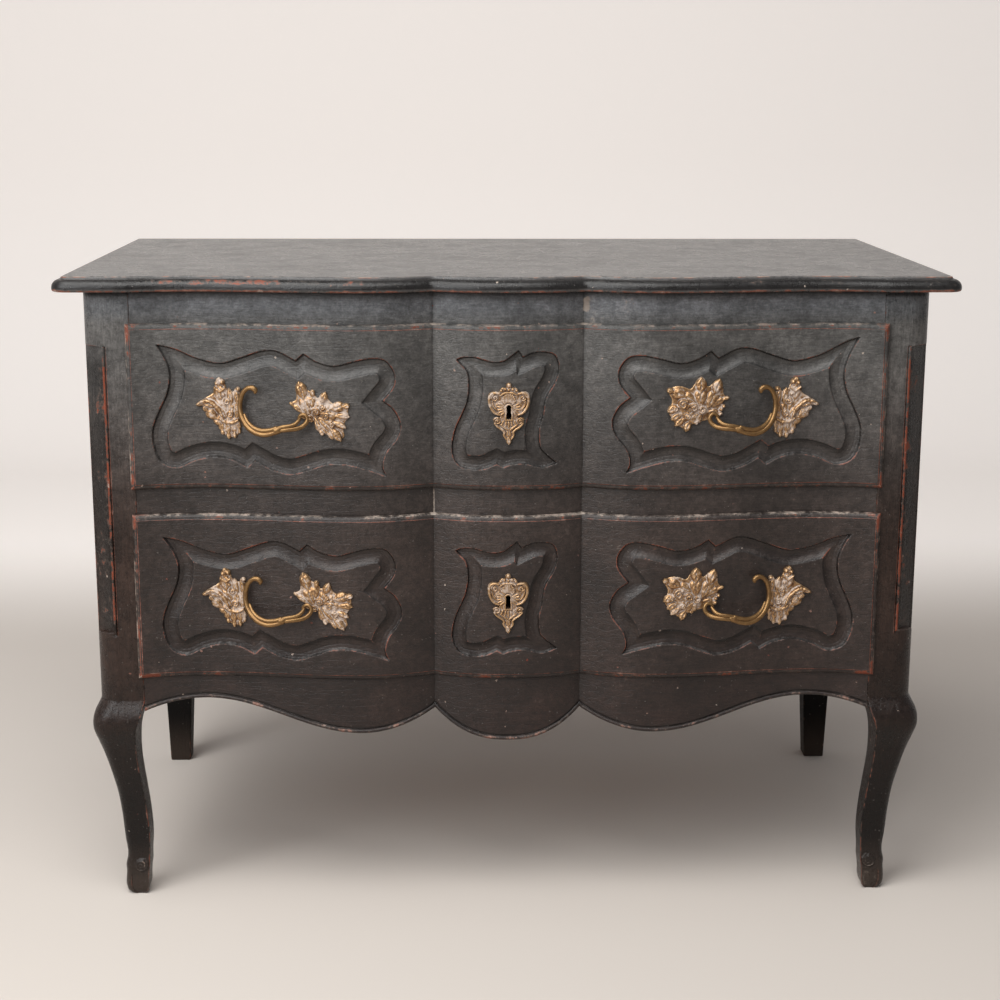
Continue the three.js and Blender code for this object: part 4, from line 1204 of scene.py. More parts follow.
def face_relief(x, z, low, high, middle, strays):
    """How far a drawer's face lies behind its plain surface, below 0 where it is cut away, the painted
    shade in its carving, in the quirk of its lip, in the creases of its cusps and on its slopes that
    face down, and the settled dust with a painted highlight on the slopes that face up."""
    edge = np.minimum.reduce([x - low[0], high[0] - x, z - low[2], high[2] - z])
    bulge = 1 - np.sqrt(np.clip(1 - (1 - np.clip(edge / LIP_MOULDING, 0, 1)) ** 2, 0, 1))
    relief = -LIP_FILLET * (1 - ease(edge, 6.1, 6.9)) - (LIP_EDGE - LIP_FILLET) * bulge
    # Painted shade in the quirk of the lip and in the creases of the cusps
    grime = 0.5 * near(edge, 6.6, 0.8) + 0.35 * near(np.abs(x), CUSP_X, 2.5)
    dust = np.zeros(x.shape)
    places = [
        (SIDE_CARTOUCHE, -HANDLE_X, False, SIDE_BAND),
        (CENTRE_CARTOUCHE, 0, False, CENTRE_BAND),
        (SIDE_CARTOUCHE, HANDLE_X, True, SIDE_BAND),
    ]
    for (arcs, across, mirror, band), stray in zip(places, strays):
        outline = outline_of(arcs, mirror, stray, (across, middle))
        lows = outline.min(axis=0) - 2
        highs = outline.max(axis=0) + 2
        columns = np.flatnonzero((x[0] > lows[0]) & (x[0] < highs[0]))
        rows = np.flatnonzero((z[:, 0] > lows[1]) & (z[:, 0] < highs[1]))
        window = np.ix_(rows, columns)
        sunk, groove_shade = carved_groove(depth_inside(outline, x[window], z[window]), band)
        facing_up = np.gradient(sunk, z[rows, 0], axis=0)
        relief[window] -= sunk
        # Painted shade in the groove and on the slopes that face down
        grime[window] += groove_shade + 0.5 * ease(-facing_up, 0.12, 0.7)
        # Settled dust with a painted highlight on the slopes that face up, weaker above the drawer's middle
        below = 1 - 0.6 * ease(z[window], middle - 30, middle)
        dust[window] += 0.3 * ease(facing_up, 0.1, 0.6) * below
    return relief, grime, dust


def lip_marks(points, low, high):
    """A drawer's lip is chalky along its top and at the cusps, less so at its ends, and its corners
    are rubbed to the red ground."""
    x, _, z = points.T
    from_top = high[2] - z
    from_foot = z - low[2]
    from_end = np.minimum(x - low[0], high[0] - x)
    at_cusp = near(np.abs(x), CUSP_X, 4)
    chalk = np.maximum.reduce([
        (0.42 + 0.2 * at_cusp) * (1 - ease(from_top, 2.0, 3.6)),
        0.42 * (1 - ease(from_end, 1.8, 3.4)),
        0.2 * (1 - ease(from_foot, 1.4, 2.8)),
    ])
    edge = np.minimum(from_end, np.minimum(from_top, from_foot))
    corner = np.hypot(from_end, np.minimum(from_top, from_foot))
    scuff = (0.3 * (1 - ease(corner, 8, 34)) + 0.2) * (edge < LIP_MOULDING)
    return scuff, chalk


def drawer_face(name, body, middle):
    """The lipped front with its carving, open behind the keyhole plate."""
    node = name + "_drawer_front"
    low, high = corners(node)
    knots = [-HOLLOW_X, -LOBE_X, -CUSP_X, -WINDOW_HALF, WINDOW_HALF, CUSP_X, LOBE_X, HOLLOW_X]
    xs = face_lines(low[0], high[0], knots)
    window_low = middle + KEYHOLE_LIFT - KEYHOLE_DROP
    window_high = middle + KEYHOLE_LIFT + KEYHOLE_RADIUS
    zs = face_lines(low[2], high[2], [window_low, window_high])
    x, z = np.meshgrid(xs, zs)
    relief, grime, dust = face_relief(x, z, low, high, middle, HAND_CUT[name])
    y = drawer_face_y(x) - relief
    rows, columns = x.shape
    grid = np.arange(rows * columns).reshape(rows, columns)
    left, right = np.searchsorted(xs, (-WINDOW_HALF - 0.01, WINDOW_HALF - 0.01))
    sill, lintel = np.searchsorted(zs, (window_low - 0.01, window_high - 0.01))
    solid = np.ones((rows - 1, columns - 1), bool)
    solid[sill:lintel, left:right] = False
    cells = np.stack([grid[:-1, :-1], grid[:-1, 1:], grid[1:, 1:], grid[1:, :-1]], axis=-1)
    faces = cells[solid].tolist()
    back = face_y(xs) - LIP_GAP
    points = [np.stack([x, y, z], axis=-1).reshape(-1, 3)]
    lines = []
    for level in (low[2], window_low, window_high, high[2]):
        lines.append(rows * columns + len(lines) * columns + np.arange(columns))
        points.append(np.stack([xs, back, np.full(columns, level)], axis=1))
    foot, below, above, head = lines
    for step in range(columns - 1):
        after = step + 1
        faces.append([foot[step], foot[after], grid[0, after], grid[0, step]])
        faces.append([grid[-1, step], grid[-1, after], head[after], head[step]])
        faces.append([below[step], below[after], foot[after], foot[step]])
        faces.append([head[step], head[after], above[after], above[step]])
        if left <= step < right:
            faces.append([grid[sill, step], grid[sill, after], below[after], below[step]])
            faces.append([above[step], above[after], grid[lintel, after], grid[lintel, step]])
        else:
            faces.append([above[step], above[after], below[after], below[step]])
    faces.append([foot[0], *grid[:, 0], head[0], above[0], below[0]])
    faces.append([head[-1], *grid[::-1, -1], foot[-1], below[-1], above[-1]])
    faces.append([below[left], *grid[sill:lintel + 1, left], above[left]])
    faces.append([above[right], *grid[sill:lintel + 1, right][::-1], below[right]])
    points = np.vstack(points)
    used = np.zeros(len(points), bool)
    used[np.concatenate(faces)] = True
    number = np.cumsum(used) - 1
    faces = [number[face].tolist() for face in faces]
    scuff, chalk = lip_marks(points, low, high)
    unseen = np.zeros(len(points) - grime.size)
    grime = np.concatenate([grime.ravel(), unseen])
    dust = np.concatenate([dust.ravel(), unseen])
    piece(
        node, "carved", points[used], faces, front_paint, body,
        scuff=scuff[used], chalk=chalk[used], grime=grime[used], dust=dust[used],
    )


def drawer_core(name, body, low_z, high_z, side_top, middle):
    """The board behind the lip, rebated at its ends for the drawer's sides."""
    half = OPENING_HALF - DRAWER_CLEARANCE
    back = CASE_FRONT + FRONT_BACK_SETBACK
    lap = back - SIDE_LAP - JOINT_GAP_FRONT
    inner = half - DRAWER_SIDE - JOINT_GAP_FRONT
    front = [(x, float(face_y(x)) - LIP_GAP - CORE_SINK) for x in stations(half, 12)]
    rebated = front + [(half, lap), (inner, lap), (inner, back), (-inner, back), (-inner, lap), (-half, lap)]
    whole = front + [(half, lap), (half, back), (inner, back), (-inner, back), (-half, back), (-half, lap)]
    ledge = side_top + JOINT_GAP_FRONT
    rings = [
        [(x, y, level) for x, y in outline]
        for level, outline in ((low_z, rebated), (ledge, rebated), (ledge + 0.02, whole), (high_z, whole))
    ]
    points, faces = loft(rings)
    made = raw_object(name + "_drawer_front_board", points, faces)
    cutter = keyhole_cutter(middle + KEYHOLE_LIFT, CASE_FRONT - 60, CASE_FRONT + 60)
    cut(made, cutter)
    turn_out(made.data)
    finished(made, beech_across, body, "drawer_wood")


for name in DRAWERS:
    body = name + "_drawer"
    low, high = corners(name + "_drawer_front")
    middle = (low[2] + high[2]) / 2
    rim = LIP_OVERLAP + DRAWER_CLEARANCE
    side_top = corners(name + "_drawer_side_left")[1][2]
    drawer_face(name, body, middle)
    drawer_core(name, body, low[2] + rim, high[2] - rim, side_top, middle)


# Cast mounts: reliefs over a fine grid, joined from leaves, rods, domes and scrolls on a base plate

CAST_STEP = 0.55
BASE_HEIGHT = 1.7
CAST_SEAT = -0.2


def nearest_on(line, a, b):
    """Distance from each place to a line and how far along the line the nearest point is."""
    start = line[:-1]
    run = line[1:] - start
    length = np.hypot(run[:, 0], run[:, 1])
    whole = np.concatenate([[0], np.cumsum(length)])
    best = np.full(a.shape, 1e9)
    along = np.zeros(a.shape)
    for index in range(len(start)):
        da = a - start[index, 0]
        db = b - start[index, 1]
        unit = run[index] / length[index]
        share = np.clip(da * unit[0] + db * unit[1], 0, length[index])
        gap = np.hypot(da - share * unit[0], db - share * unit[1])
        closer = gap < best
        best = np.where(closer, gap, best)
        along = np.where(closer, (whole[index] + share) / whole[-1], along)
    return best, along


def base_plate(a, b, outline, inset=0.0):
    """The plate under the ornament: a smooth outline, drawn in a little, with a rolled edge."""
    closed = np.vstack([outline, outline[:1]])
    depth = depth_inside(smooth_line(closed, 4)[:-1], a, b) - inset
    edge = np.sqrt(np.clip(1 - (1 - np.clip(depth / 2.2, 0, 1)) ** 2, 0, 1))
    return np.where(depth > 0, 0.5 + (BASE_HEIGHT - 0.5) * edge, -1.0)


def leaf(a, b, base, bow, tip, width, crown=5.5, lobes=3, lift=0.0):
    """A leaf of swelling lobes along a sunk midrib, with a deep cut between each lobe and the next."""
    t = np.linspace(0, 1, 12)[:, None]
    line = (1 - t) ** 2 * np.array(base) + 2 * t * (1 - t) * np.array(bow) + t ** 2 * np.array(tip)
    gap, along = nearest_on(line, a, b)
    swell = np.clip(1 - along, 0, 1) ** 0.5 * (0.62 + 1.05 * along)
    lobe = np.abs(np.sin(math.pi * (along * (0.5 + 0.5 * lobes) - 0.35 * gap / width + 0.12)))
    edge = np.maximum(width * swell * (0.7 + 0.42 * lobe), 0.05)
    inside = np.clip(1 - (gap / edge) ** 2, 0, 1) ** 0.5
    cut = 1 - 0.5 * (1 - lobe) ** 2 * np.clip(gap / 2.2, 0, 1)
    rib = 1 - 0.2 * np.exp(-(gap / 1.1) ** 2)
    height = crown * (0.74 + 0.36 * along) * inside * cut * rib + lift
    return np.where(gap < edge, height, -1.0)


def rod(a, b, points, radius, height, taper=0.4, steps=5):
    """A round rod laid along a smooth line, thinner at its ends."""
    gap, along = nearest_on(smooth_line(points, steps), a, b)
    wide = radius * (1 - taper * (2 * np.abs(along - 0.5)) ** 3)
    round_top = np.sqrt(np.clip(1 - (gap / wide) ** 2, 0, 1))
    return np.where(gap < wide, height - radius + (radius + 0.3) * round_top, -1.0)


def dome(a, b, centre, radius, height):
    """A pearl or a ball."""
    gap = np.hypot(a - centre[0], b - centre[1])
    return np.where(gap < radius, height * np.sqrt(np.clip(1 - (gap / radius) ** 2, 0, 1)) + 0.4, -1.0)


def curl(a, b, centre, radius, height, turns=1.5, start=0.0, hand=1):
    """A small scroll wound in towards an eye."""
    turn = np.linspace(0, turns * 2 * math.pi, 24)
    reach = radius * (1 - 0.75 * turn / turn[-1])
    line = np.stack([
        centre[0] + reach * np.cos(start + hand * turn), centre[1] + reach * np.sin(start + hand * turn),
    ], axis=1)
    gap = nearest_on(line, a, b)[0]
    wide = radius * 0.27
    ridge = np.where(gap < wide, height * np.sqrt(np.clip(1 - (gap / wide) ** 2, 0, 1)) + 0.5, -1.0)
    return np.maximum(ridge, dome(a, b, centre, radius * 0.32, height))


def ribs(a, b, pairs, width, height):
    """A row of short round-ended lobes."""
    made = np.full(a.shape, -1.0)
    for base, tip in pairs:
        middle = ((base[0] + tip[0]) / 2, (base[1] + tip[1]) / 2)
        made = np.maximum(made, rod(a, b, [base, middle, tip], width, height, 0.15, 3))
    return made


def field(low, high, step=CAST_STEP):
    """The grid of places over which a casting's relief is worked out."""
    a = np.arange(low[0], high[0] + step, step)
    b = np.arange(low[1], high[1] + step, step)
    return np.meshgrid(a, b)


def ornament(a, b, base, forms):
    """The forms over their base plate, whichever stands highest at each place."""
    return np.maximum.reduce([base] + [form(a, b, *sizes) for form, *sizes in forms])


# The handle's outer end: a turned leaf and a scalloped wing over a small shell
OUTER_OUTLINE = [
    (64, 36), (68, 40.5), (74, 39.5), (78, 34), (77, 25), (82, 19.5), (90, 14.5), (98, 9), (103, 4),
    (97, 1), (90, -1), (86, -7), (82, -13), (78, -19), (74, -26), (70, -33), (65, -39), (58, -41),
    (51, -40), (46, -35), (44.5, -24), (44, -10), (44, 6), (43, 20), (44.5, 27.5), (49, 27), (54, 22.5),
    (59, 23), (62, 29),
]
OUTER_FORMS = [
    (leaf, (63, -8), (75, 12), (71.5, 41), 9.0, 5.2, 4),
    (dome, (67.5, 34.5), 3.9, 6.6),
    (dome, (74.6, 33), 3.3, 6.0),
    (rod, [(78, 27.5), (71, 22.5), (64.6, 26.5)], 2.0, 5.8),
    (leaf, (58, -16), (54, 4), (59, 27), 6.4, 5.0, 3, 0.3),
    (leaf, (50, -14), (45, 4), (50.5, 26), 5.6, 4.6, 3, 0.5),
    (dome, (46.5, 25), 3.6, 5.6),
    (curl, (62, 8.5), 4.4, 5.6, 1.3, 1.0, -1),
    (dome, (66, 17.5), 2.6, 6.2),
    (leaf, (66, -24), (84, -8), (94, 1), 8.6, 5.2, 4),
    (leaf, (64, -12), (80, 12), (103.6, 3), 6.0, 6.6, 4, 0.6),
    (rod, [(102, 4), (94, 8.4), (85, 8.4), (76, 2), (70.5, -6), (67, -15)], 2.7, 7.8, 0.6),
    (leaf, (70, -16), (71, -24), (68, -37), 5.2, 5.0, 2),
    (leaf, (61, -15), (62, -28), (60, -42.5), 5.6, 5.6, 2, 0.4),
    (leaf, (53.5, -15), (53, -28), (52, -41.5), 5.2, 5.2, 2, 0.2),
    (leaf, (48.5, -14), (46.6, -24), (45.6, -35), 4.2, 4.8, 2),
    (rod, [(71, -14.5), (64, -19), (56, -20), (47, -16)], 2.4, 6.8, 0.4),
    (curl, (58.5, -8), 4.8, 6.0, 1.4, 2.4, 1),
]


def weathered(a, b, height):
    """The casting's skin: softened by handling, with soft lumps left by the mould."""
    solid = height > 0
    soft = np.maximum(height, 0.3)
    for _ in range(3):
        padded = np.pad(soft, 1, mode="edge")
        around = padded[:-2, 1:-1] + padded[2:, 1:-1] + padded[1:-1, :-2] + padded[1:-1, 2:]
        soft = np.where(solid, 0.5 * soft + 0.125 * around, soft)
    lumps = np.sin(1.05 * a + 0.4 * b) * np.sin(0.95 * b - 0.35 * a) + np.sin(0.61 * a - 0.83 * b + 1)
    return np.where(solid, np.maximum(soft * (1 + 0.05 * lumps), 0.3), -1.0)


# The handle's inner end: a spray of toothed vine leaves with small scrolls, and on the right handles
# three pearls. The leaves of the left handles lie lower.
LEFT_OUTLINE = [
    (-34, 36), (-30.5, 26), (-30, 14), (-24, 10), (-23.5, 6.5), (-30, 3), (-36, -2), (-38, -9), (-46, -16),
    (-56, -18), (-60, -27), (-65, -34), (-73, -33), (-79, -38), (-85, -42.5), (-92, -41), (-96.5, -35),
    (-95, -26), (-97, -18), (-102, -11), (-102, -3), (-101, 5), (-93, 9), (-83, 9), (-77, 13), (-72, 21.5),
    (-66, 21), (-60, 17), (-56.5, 24), (-50, 26), (-43, 30), (-38, 35),
]
LEFT_FORMS = [
    (leaf, (-48, -6), (-42, 14), (-35, 38), 10.6, 6.2, 3, 0.0),
    (leaf, (-50, -2), (-52, 13), (-54, 27), 6.6, 5.0, 2, 0.4),
    (leaf, (-57, -3), (-66, 9), (-71, 24), 7.6, 5.4, 3, 0.2),
    (leaf, (-62, -5), (-82, 5), (-103, 5), 8.8, 6.0, 4, 0.0),
    (leaf, (-66, -10), (-86, -6), (-103, -10), 6.4, 5.0, 3, 0.4),
    (leaf, (-64, -12), (-82, -16), (-98, -25), 6.6, 5.6, 3, 0.0),
    (leaf, (-62, -12), (-80, -26), (-91, -43), 8.2, 6.2, 3, 0.3),
    (leaf, (-60, -14), (-70, -27), (-80, -40), 5.8, 4.8, 2, 0.0),
    (leaf, (-57, -13), (-60, -24), (-67, -35), 5.6, 5.4, 2, 0.2),
    (leaf, (-40, -5), (-31, 3), (-22, 9), 4.2, 4.6, 2, 0.4),
    (leaf, (-46, -8), (-40, -12), (-36, -9), 4.4, 4.6, 2, 0.0), (curl, (-57.5, -3), 5.2, 6.8, 1.4, 0.6, 1),
    (curl, (-71, -9), 4.8, 6.8, 1.4, 2.6, -1), (curl, (-50, -12), 4.2, 6.8, 1.4, 4.0, 1),
    (curl, (-79, -20), 4.4, 6.8, 1.4, 1.5, -1), (curl, (-66, 4), 3.8, 6.8, 1.4, 3.0, 1),
]
RIGHT_OUTLINE = [
    (-33, 39.5), (-27.5, 31), (-25.5, 20), (-20.5, 14.5), (-26, 10), (-27, 2), (-31, -8), (-38, -10),
    (-43, -15), (-53, -17.5), (-63, -19), (-71, -24), (-77, -30), (-83, -26.5), (-92, -21.5), (-97, -14),
    (-102, -5), (-99.5, 4), (-98, 12), (-102.5, 21), (-102, 28), (-92, 32), (-82, 31.5), (-72.5, 28.5),
    (-69, 33), (-65, 38), (-58, 42), (-52, 38), (-48.5, 31.5), (-44, 34), (-39, 38.5),
]
RIGHT_FORMS = [
    (leaf, (-66, 10), (-84, 21), (-104, 26), 9.4, 6.0, 4, 0.0),
    (leaf, (-58, 5), (-58.5, 24), (-58, 43.5), 10.4, 6.2, 3, 0.4),
    (leaf, (-48, 3), (-38.5, 20), (-32.5, 40.5), 9.8, 6.0, 3, 0.0),
    (leaf, (-42, 3), (-32, 12), (-19, 15), 4.8, 4.8, 2, 0.5),
    (leaf, (-72, 3), (-88, 5), (-103, -4), 8.4, 5.4, 3, 0.2),
    (leaf, (-70, -1), (-84, -5), (-98, -15), 7.2, 5.4, 3, 0.0),
    (leaf, (-68, -6), (-82, -13), (-92.5, -23), 6.6, 5.2, 3, 0.3),
    (leaf, (-63, -8), (-74, -17), (-78, -31), 7.4, 6.0, 3, 0.0),
    (leaf, (-57, -9), (-60, -14), (-65, -21), 5.6, 4.8, 2, 0.2),
    (leaf, (-46, -4), (-38, -4), (-30, -9), 5.4, 5.0, 2, 0.0), (curl, (-82, 6.5), 6.8, 6.8, 1.4, 0.6, 1),
    (curl, (-67.5, 2), 5.4, 6.8, 1.4, 2.6, -1), (curl, (-56, -1), 4.8, 6.8, 1.4, 4.0, 1),
    (curl, (-76, -10), 4.6, 6.8, 1.4, 1.5, -1), (curl, (-92, 1), 3.8, 6.8, 1.4, 3.0, 1),
    (dome, (-26.5, 3), 2.8, 5.4), (dome, (-30, -1.6), 2.8, 5.4), (dome, (-30.6, -7), 2.8, 5.4),
]


ESCUTCHEON_OUTLINE = [
    (3.4, 40.6), (4, 36.4), (3.6, 34.6), (8.6, 35), (12, 32.4), (13.4, 29.4), (18, 29.8), (23.6, 29.4),
    (27.2, 26), (28.2, 19.6), (27.2, 12), (24.6, 5), (20.8, 0), (15.6, -2.6), (11.8, -3.6), (13, -5),
    (17, -4.8), (20, -7.6), (20.2, -12.4), (18, -16.4), (14, -18.8), (10.4, -21.6), (8.2, -25),
    (7.6, -29.4), (5.4, -33), (3.6, -36.6), (1.8, -40.6),
]
KEYHOLE_ABOVE = 8.5


def escutcheon_relief(a, b):
    """A keyhole plate, alike on both sides: a ball, pearls, two C-scrolls, flutes and a leaf tip."""
    out = np.abs(a)
    whole = ESCUTCHEON_OUTLINE + [(-x, z) for x, z in reversed(ESCUTCHEON_OUTLINE)]
    shell = [
        ((5.4 * math.cos(t), 13 + 3 * math.sin(t)), (8.6 * math.cos(t), 16 + 11 * math.sin(t)))
        for t in np.linspace(0.12, math.pi / 2, 6)
    ]
    flutes = [
        ((5.6 * math.cos(t), 7 + 5 * math.sin(t)), (14.5 * math.cos(t), 7 + 13 * math.sin(t)))
        for t in np.linspace(-0.75, 0.5, 5)
    ]
    forms = [
        (dome, (0, 38.2), 3.7, 4.6),
        (dome, (0, 32.2), 2.4, 4.6),
        (dome, (5.2, 33), 2.4, 4.4),
        (dome, (10.2, 31), 2.4, 4.4),
        (rod, [(0, 28.6), (6, 28), (11.4, 24.6)], 1.4, 4.6, 0.2),
        (ribs, shell, 1.5, 4.2),
        (ribs, flutes, 1.5, 3.6),
        (rod, [
            (12.6, 27), (18, 28), (23, 26.8), (25.8, 22), (25.8, 14.6), (23.2, 7), (18.4, 1.2), (12.6, -1.2),
        ], 2.1, 5.2, 0.3),
        (curl, (18.6, 21.4), 4.6, 4.4, 1.4, 1.2, -1),
        (rod, [(22, 17), (20.8, 11), (16.6, 5.4)], 1.4, 4.2),
        (leaf, (12, 16), (16, 13), (18, 5), 3.2, 3.8, 2),
        (curl, (15.4, -9.8), 4.9, 4.6, 1.4, 0.4, 1),
        (rod, [(19, -13), (15, -17.4), (10, -20.6), (6, -24.4), (6.4, -29), (3.4, -34)], 1.7, 4.6, 0.3),
        (rod, [(11, -14.6), (6.4, -18), (1.6, -22)], 1.5, 4.2, 0.3),
        (ribs, [((7.6, -10), (9.4, -14.6)), ((3.6, -11.4), (4.6, -16.6)), ((0, -11.4), (0, -18))], 1.6, 4.0),
        (leaf, (0, -21), (0, -31), (0, -42.4), 5.0, 4.6, 3, 0.2),
    ]
    joined_forms = ornament(out, b, base_plate(a, b, whole), forms)
    rim = depth_inside(np.array(keyhole_outline(0, 0.0)), a, b - KEYHOLE_ABOVE)
    collar = 3.2 + 1.2 * np.sqrt(np.clip(1 - (rim + 1) ** 2 / 1.7, 0, 1))
    ringed = np.where((rim > -2.2) & (rim <= 0.4), collar, joined_forms)
    return np.where(rim > 0.1, -1.0, ringed)


def relief_solid(a, b, height, place, seat):
    """Points and faces of a closed casting: its relief, its side walls and its flat back."""
    solid = height > 0
    cells = solid[:-1, :-1] & solid[:-1, 1:] & solid[1:, 1:] & solid[1:, :-1]
    rows, columns = a.shape
    grid = np.arange(rows * columns).reshape(rows, columns)
    corner = np.stack([grid[:-1, :-1], grid[:-1, 1:], grid[1:, 1:], grid[1:, :-1]], axis=-1)[cells]
    used, numbered = np.unique(corner, return_inverse=True)
    front_faces = numbered.reshape(-1, 4)
    count = len(used)
    flat_a, flat_b, flat_h = a.ravel()[used], b.ravel()[used], height.ravel()[used]
    front = place(flat_a, flat_b, flat_h)
    back = place(flat_a, flat_b, np.full(count, seat))
    starts = front_faces.ravel()
    ends = np.roll(front_faces, -1, axis=1).ravel()
    forward = set(zip(starts.tolist(), ends.tolist()))
    walls = [
        (start, start + count, end + count, end) for start, end in forward if (end, start) not in forward
    ]
    faces = front_faces.tolist() + (front_faces[:, ::-1] + count).tolist() + sorted(walls)
    return np.vstack([front, back]), faces


# Handles

BAR = [
    (22.6, 22.4, 9.6, 2.6), (22.6, 25.6, 9.8, 3.6), (26.6, 28.4, 9.6, 3.7), (33, 27.6, 9.2, 3.2),
    (39.4, 21, 8.8, 3.2), (43, 10, 8.8, 3.3), (43.4, -1, 9.6, 3.5), (40.4, -12, 12.6, 3.6),
    (34, -21.6, 17.6, 3.6), (24.6, -28.6, 21.6, 3.6), (13, -31.6, 24.6, 3.5), (1.6, -30, 25.4, 3.3),
    (-7, -26.8, 25.4, 3.2),
]
UPPER_BAR = [
    (38, -7.6, 10.4, 2.0), (33.2, -16.4, 15.6, 2.8), (25, -23, 20.4, 3.1), (14, -26.2, 23.8, 3.1),
    (2.4, -25, 25, 3.0), (-6.6, -22, 25.2, 2.8),
]
COLLAR = [
    (-1.6, -26.8, 23.6, 3.8), (-3.6, -26.4, 23.5, 5.2), (-6, -25.6, 23.5, 5.6), (-9, -24.6, 23.5, 5.4),
    (-11.8, -23.4, 23.6, 4.2),
]
LOWER_REED = [
    (-8.6, -25.8, 24.6, 2.7), (-16, -24.8, 24.4, 3.1), (-24, -24, 23, 3.2), (-32, -23.4, 19.6, 3.3),
    (-39.4, -21.4, 15.4, 3.2), (-45, -16.6, 12.2, 3.0), (-46.6, -10.4, 10.8, 2.8), (-42.4, -5.8, 10.2, 2.6),
    (-37, -7.4, 10, 2.3), (-34.6, -12, 10, 1.7),
]
UPPER_REED = [
    (-8.6, -21.8, 24.8, 2.5), (-16, -20.2, 24.6, 2.7), (-23.4, -19.4, 23.2, 2.8), (-30, -17.6, 20.2, 2.8),
    (-34.6, -14, 16.2, 2.6), (-37, -10.6, 12.4, 2.0),
]
BAR_SIDES = 14


def swept(line, place):
    """A round rod of changing thickness along a line of (out, up, proud, radius)."""
    path = smooth_line(line, 5)
    centres = place(path[:, 0], path[:, 1], path[:, 2])
    along = np.gradient(centres, axis=0)
    along /= np.linalg.norm(along, axis=1)[:, None]
    side = np.cross(along[0], (0, 1, 0))
    side /= np.linalg.norm(side)
    rings = []
    last = len(centres) - 1
    for index, (centre, direction, radius) in enumerate(zip(centres, along, path[:, 3])):
        side = side - direction * side.dot(direction)
        side /= np.linalg.norm(side)
        other = np.cross(direction, side)
        shrinks = (1.0,)
        if index in (0, last):
            shrinks = (0.35, 0.75, 1.0) if index == 0 else (1.0, 0.75, 0.35)
        for shrink in shrinks:
            push = math.sqrt(1 - shrink ** 2) * radius * 0.8 * (-1 if index == 0 else 1)
            rings.append([
                centre + direction * push
                + shrink * radius * (side * math.cos(turn) + other * math.sin(turn))
                for turn in np.linspace(0, 2 * math.pi, BAR_SIDES, endpoint=False)
            ])
    return loft(rings)


def joined(parts):
    """Several bodies' points and faces as one list."""
    points = []
    faces = []
    count = 0
    for more_points, more_faces in parts:
        points.append(np.asarray(more_points))
        faces += [[index + count for index in face] for face in more_faces]
        count += len(more_points)
    return np.vstack(points), faces


def handle_parts(side, middle):
    """Points, faces and bloom of a handle: bloom lies on the plates and is rubbed off the bar."""
    def place(a, b, height):
        x = side * (HANDLE_X + np.asarray(a))
        return np.stack([x, drawer_face_y(x) - height, middle + np.asarray(b)], axis=1)

    inner = (LEFT_OUTLINE, LEFT_FORMS) if side < 0 else (RIGHT_OUTLINE, RIGHT_FORMS)
    parts = []
    for low, high, inset, (outline, forms) in (
        ((40, -44), (107, 43), 0.8, (OUTER_OUTLINE, OUTER_FORMS)), ((-106, -45), (-17, 45), 1.2, inner),
    ):
        a, b = field(low, high)
        relief = weathered(a, b, ornament(a, b, base_plate(a, b, outline, inset), forms))
        parts.append(relief_solid(a, b, relief, place, CAST_SEAT))
    plate_points = sum(len(points) for points, faces in parts)
    for line in (BAR, UPPER_BAR, COLLAR, LOWER_REED, UPPER_REED):
        parts.append(swept(line, place))
    points, faces = joined(parts)
    return points, faces, (np.arange(len(points)) < plate_points).astype(float)


STUD_RADIUS = 3
STUD_PLACES = [(66.3, 0.8), (-60.5, -5.7)]
NUT_THICKNESS = 5
STUD_END = 4


def stud_parts(side, middle):
    """The threaded ends that pass through the drawer front and its nuts."""
    parts = []
    back = CASE_FRONT + FRONT_BACK_SETBACK
    for out, up in STUD_PLACES:
        x = side * (HANDLE_X + out)
        rings = []
        stops = [(float(drawer_face_y(x)) + 1, 1.0), (back, 1.0)]
        end = back + NUT_THICKNESS + STUD_END
        thread = np.arange(back, end - 0.8, 0.4)
        stops += [(y, 1.0 if index % 2 else 0.88) for index, y in enumerate(thread)]
        stops += [(end - 0.6, 0.95), (end, 0.6)]
        for y, share in stops:
            rings.append([
                (x + share * STUD_RADIUS * math.cos(t), y, middle + up + share * STUD_RADIUS * math.sin(t))
                for t in np.linspace(0, 2 * math.pi, 16, endpoint=False)
            ])
        parts.append(loft(rings))
    return parts


def mounts(name, body, middle, escutcheon_middle):
    """A drawer's two handles with their studs, and its escutcheon."""
    for word, side in SIDES:
        node = f"{name}_handle_{word}"
        points, faces, bloom = handle_parts(side, middle)
        studs = joined(stud_parts(side, middle))
        points, faces = joined([(points, faces), studs])
        bloom = np.concatenate([bloom, np.zeros(len(studs[0]))])
        piece(node, "cast", points, faces, brass, body, "gilt_brass", passes=3, chalk=bloom)
    node = name + "_escutcheon"

    def place(a, b, height):
        return np.stack([a, drawer_face_y(a) - height, escutcheon_middle + np.asarray(b)], axis=1)

    a, b = field((-30, -44), (30, 43), 0.5)
    points, faces = relief_solid(a, b, escutcheon_relief(a, b), place, CAST_SEAT)
    piece(node, "cast", points, faces, brass, body, "gilt_brass", passes=2, chalk=0.95)


ESCUTCHEON_DROP = 6
for name in DRAWERS:
    low, high = corners(name + "_drawer_front")
    middle = (low[2] + high[2]) / 2
    mounts(name, name + "_drawer", middle, middle - ESCUTCHEON_DROP)


# The carcase inside, kept from the construction with eased arrises

WELD_REACH = 0.02
EASED_ANGLE = math.radians(35)


def keep(node, material, easing):
    """A node of the construction with welded corners, eased arrises and its finish."""
    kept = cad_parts[node]
    weld = kept.modifiers.new("one skin", "WELD")
    weld.merge_threshold = WELD_REACH * MM
    round_off = kept.modifiers.new("eased arrises", "BEVEL")
    round_off.width = easing * MM
    round_off.segments = 2
    round_off.limit_method = "ANGLE"
    round_off.angle_limit = EASED_ANGLE
    for slot in kept.material_slots:
        slot.material = material
    kept.data.shade_flat()


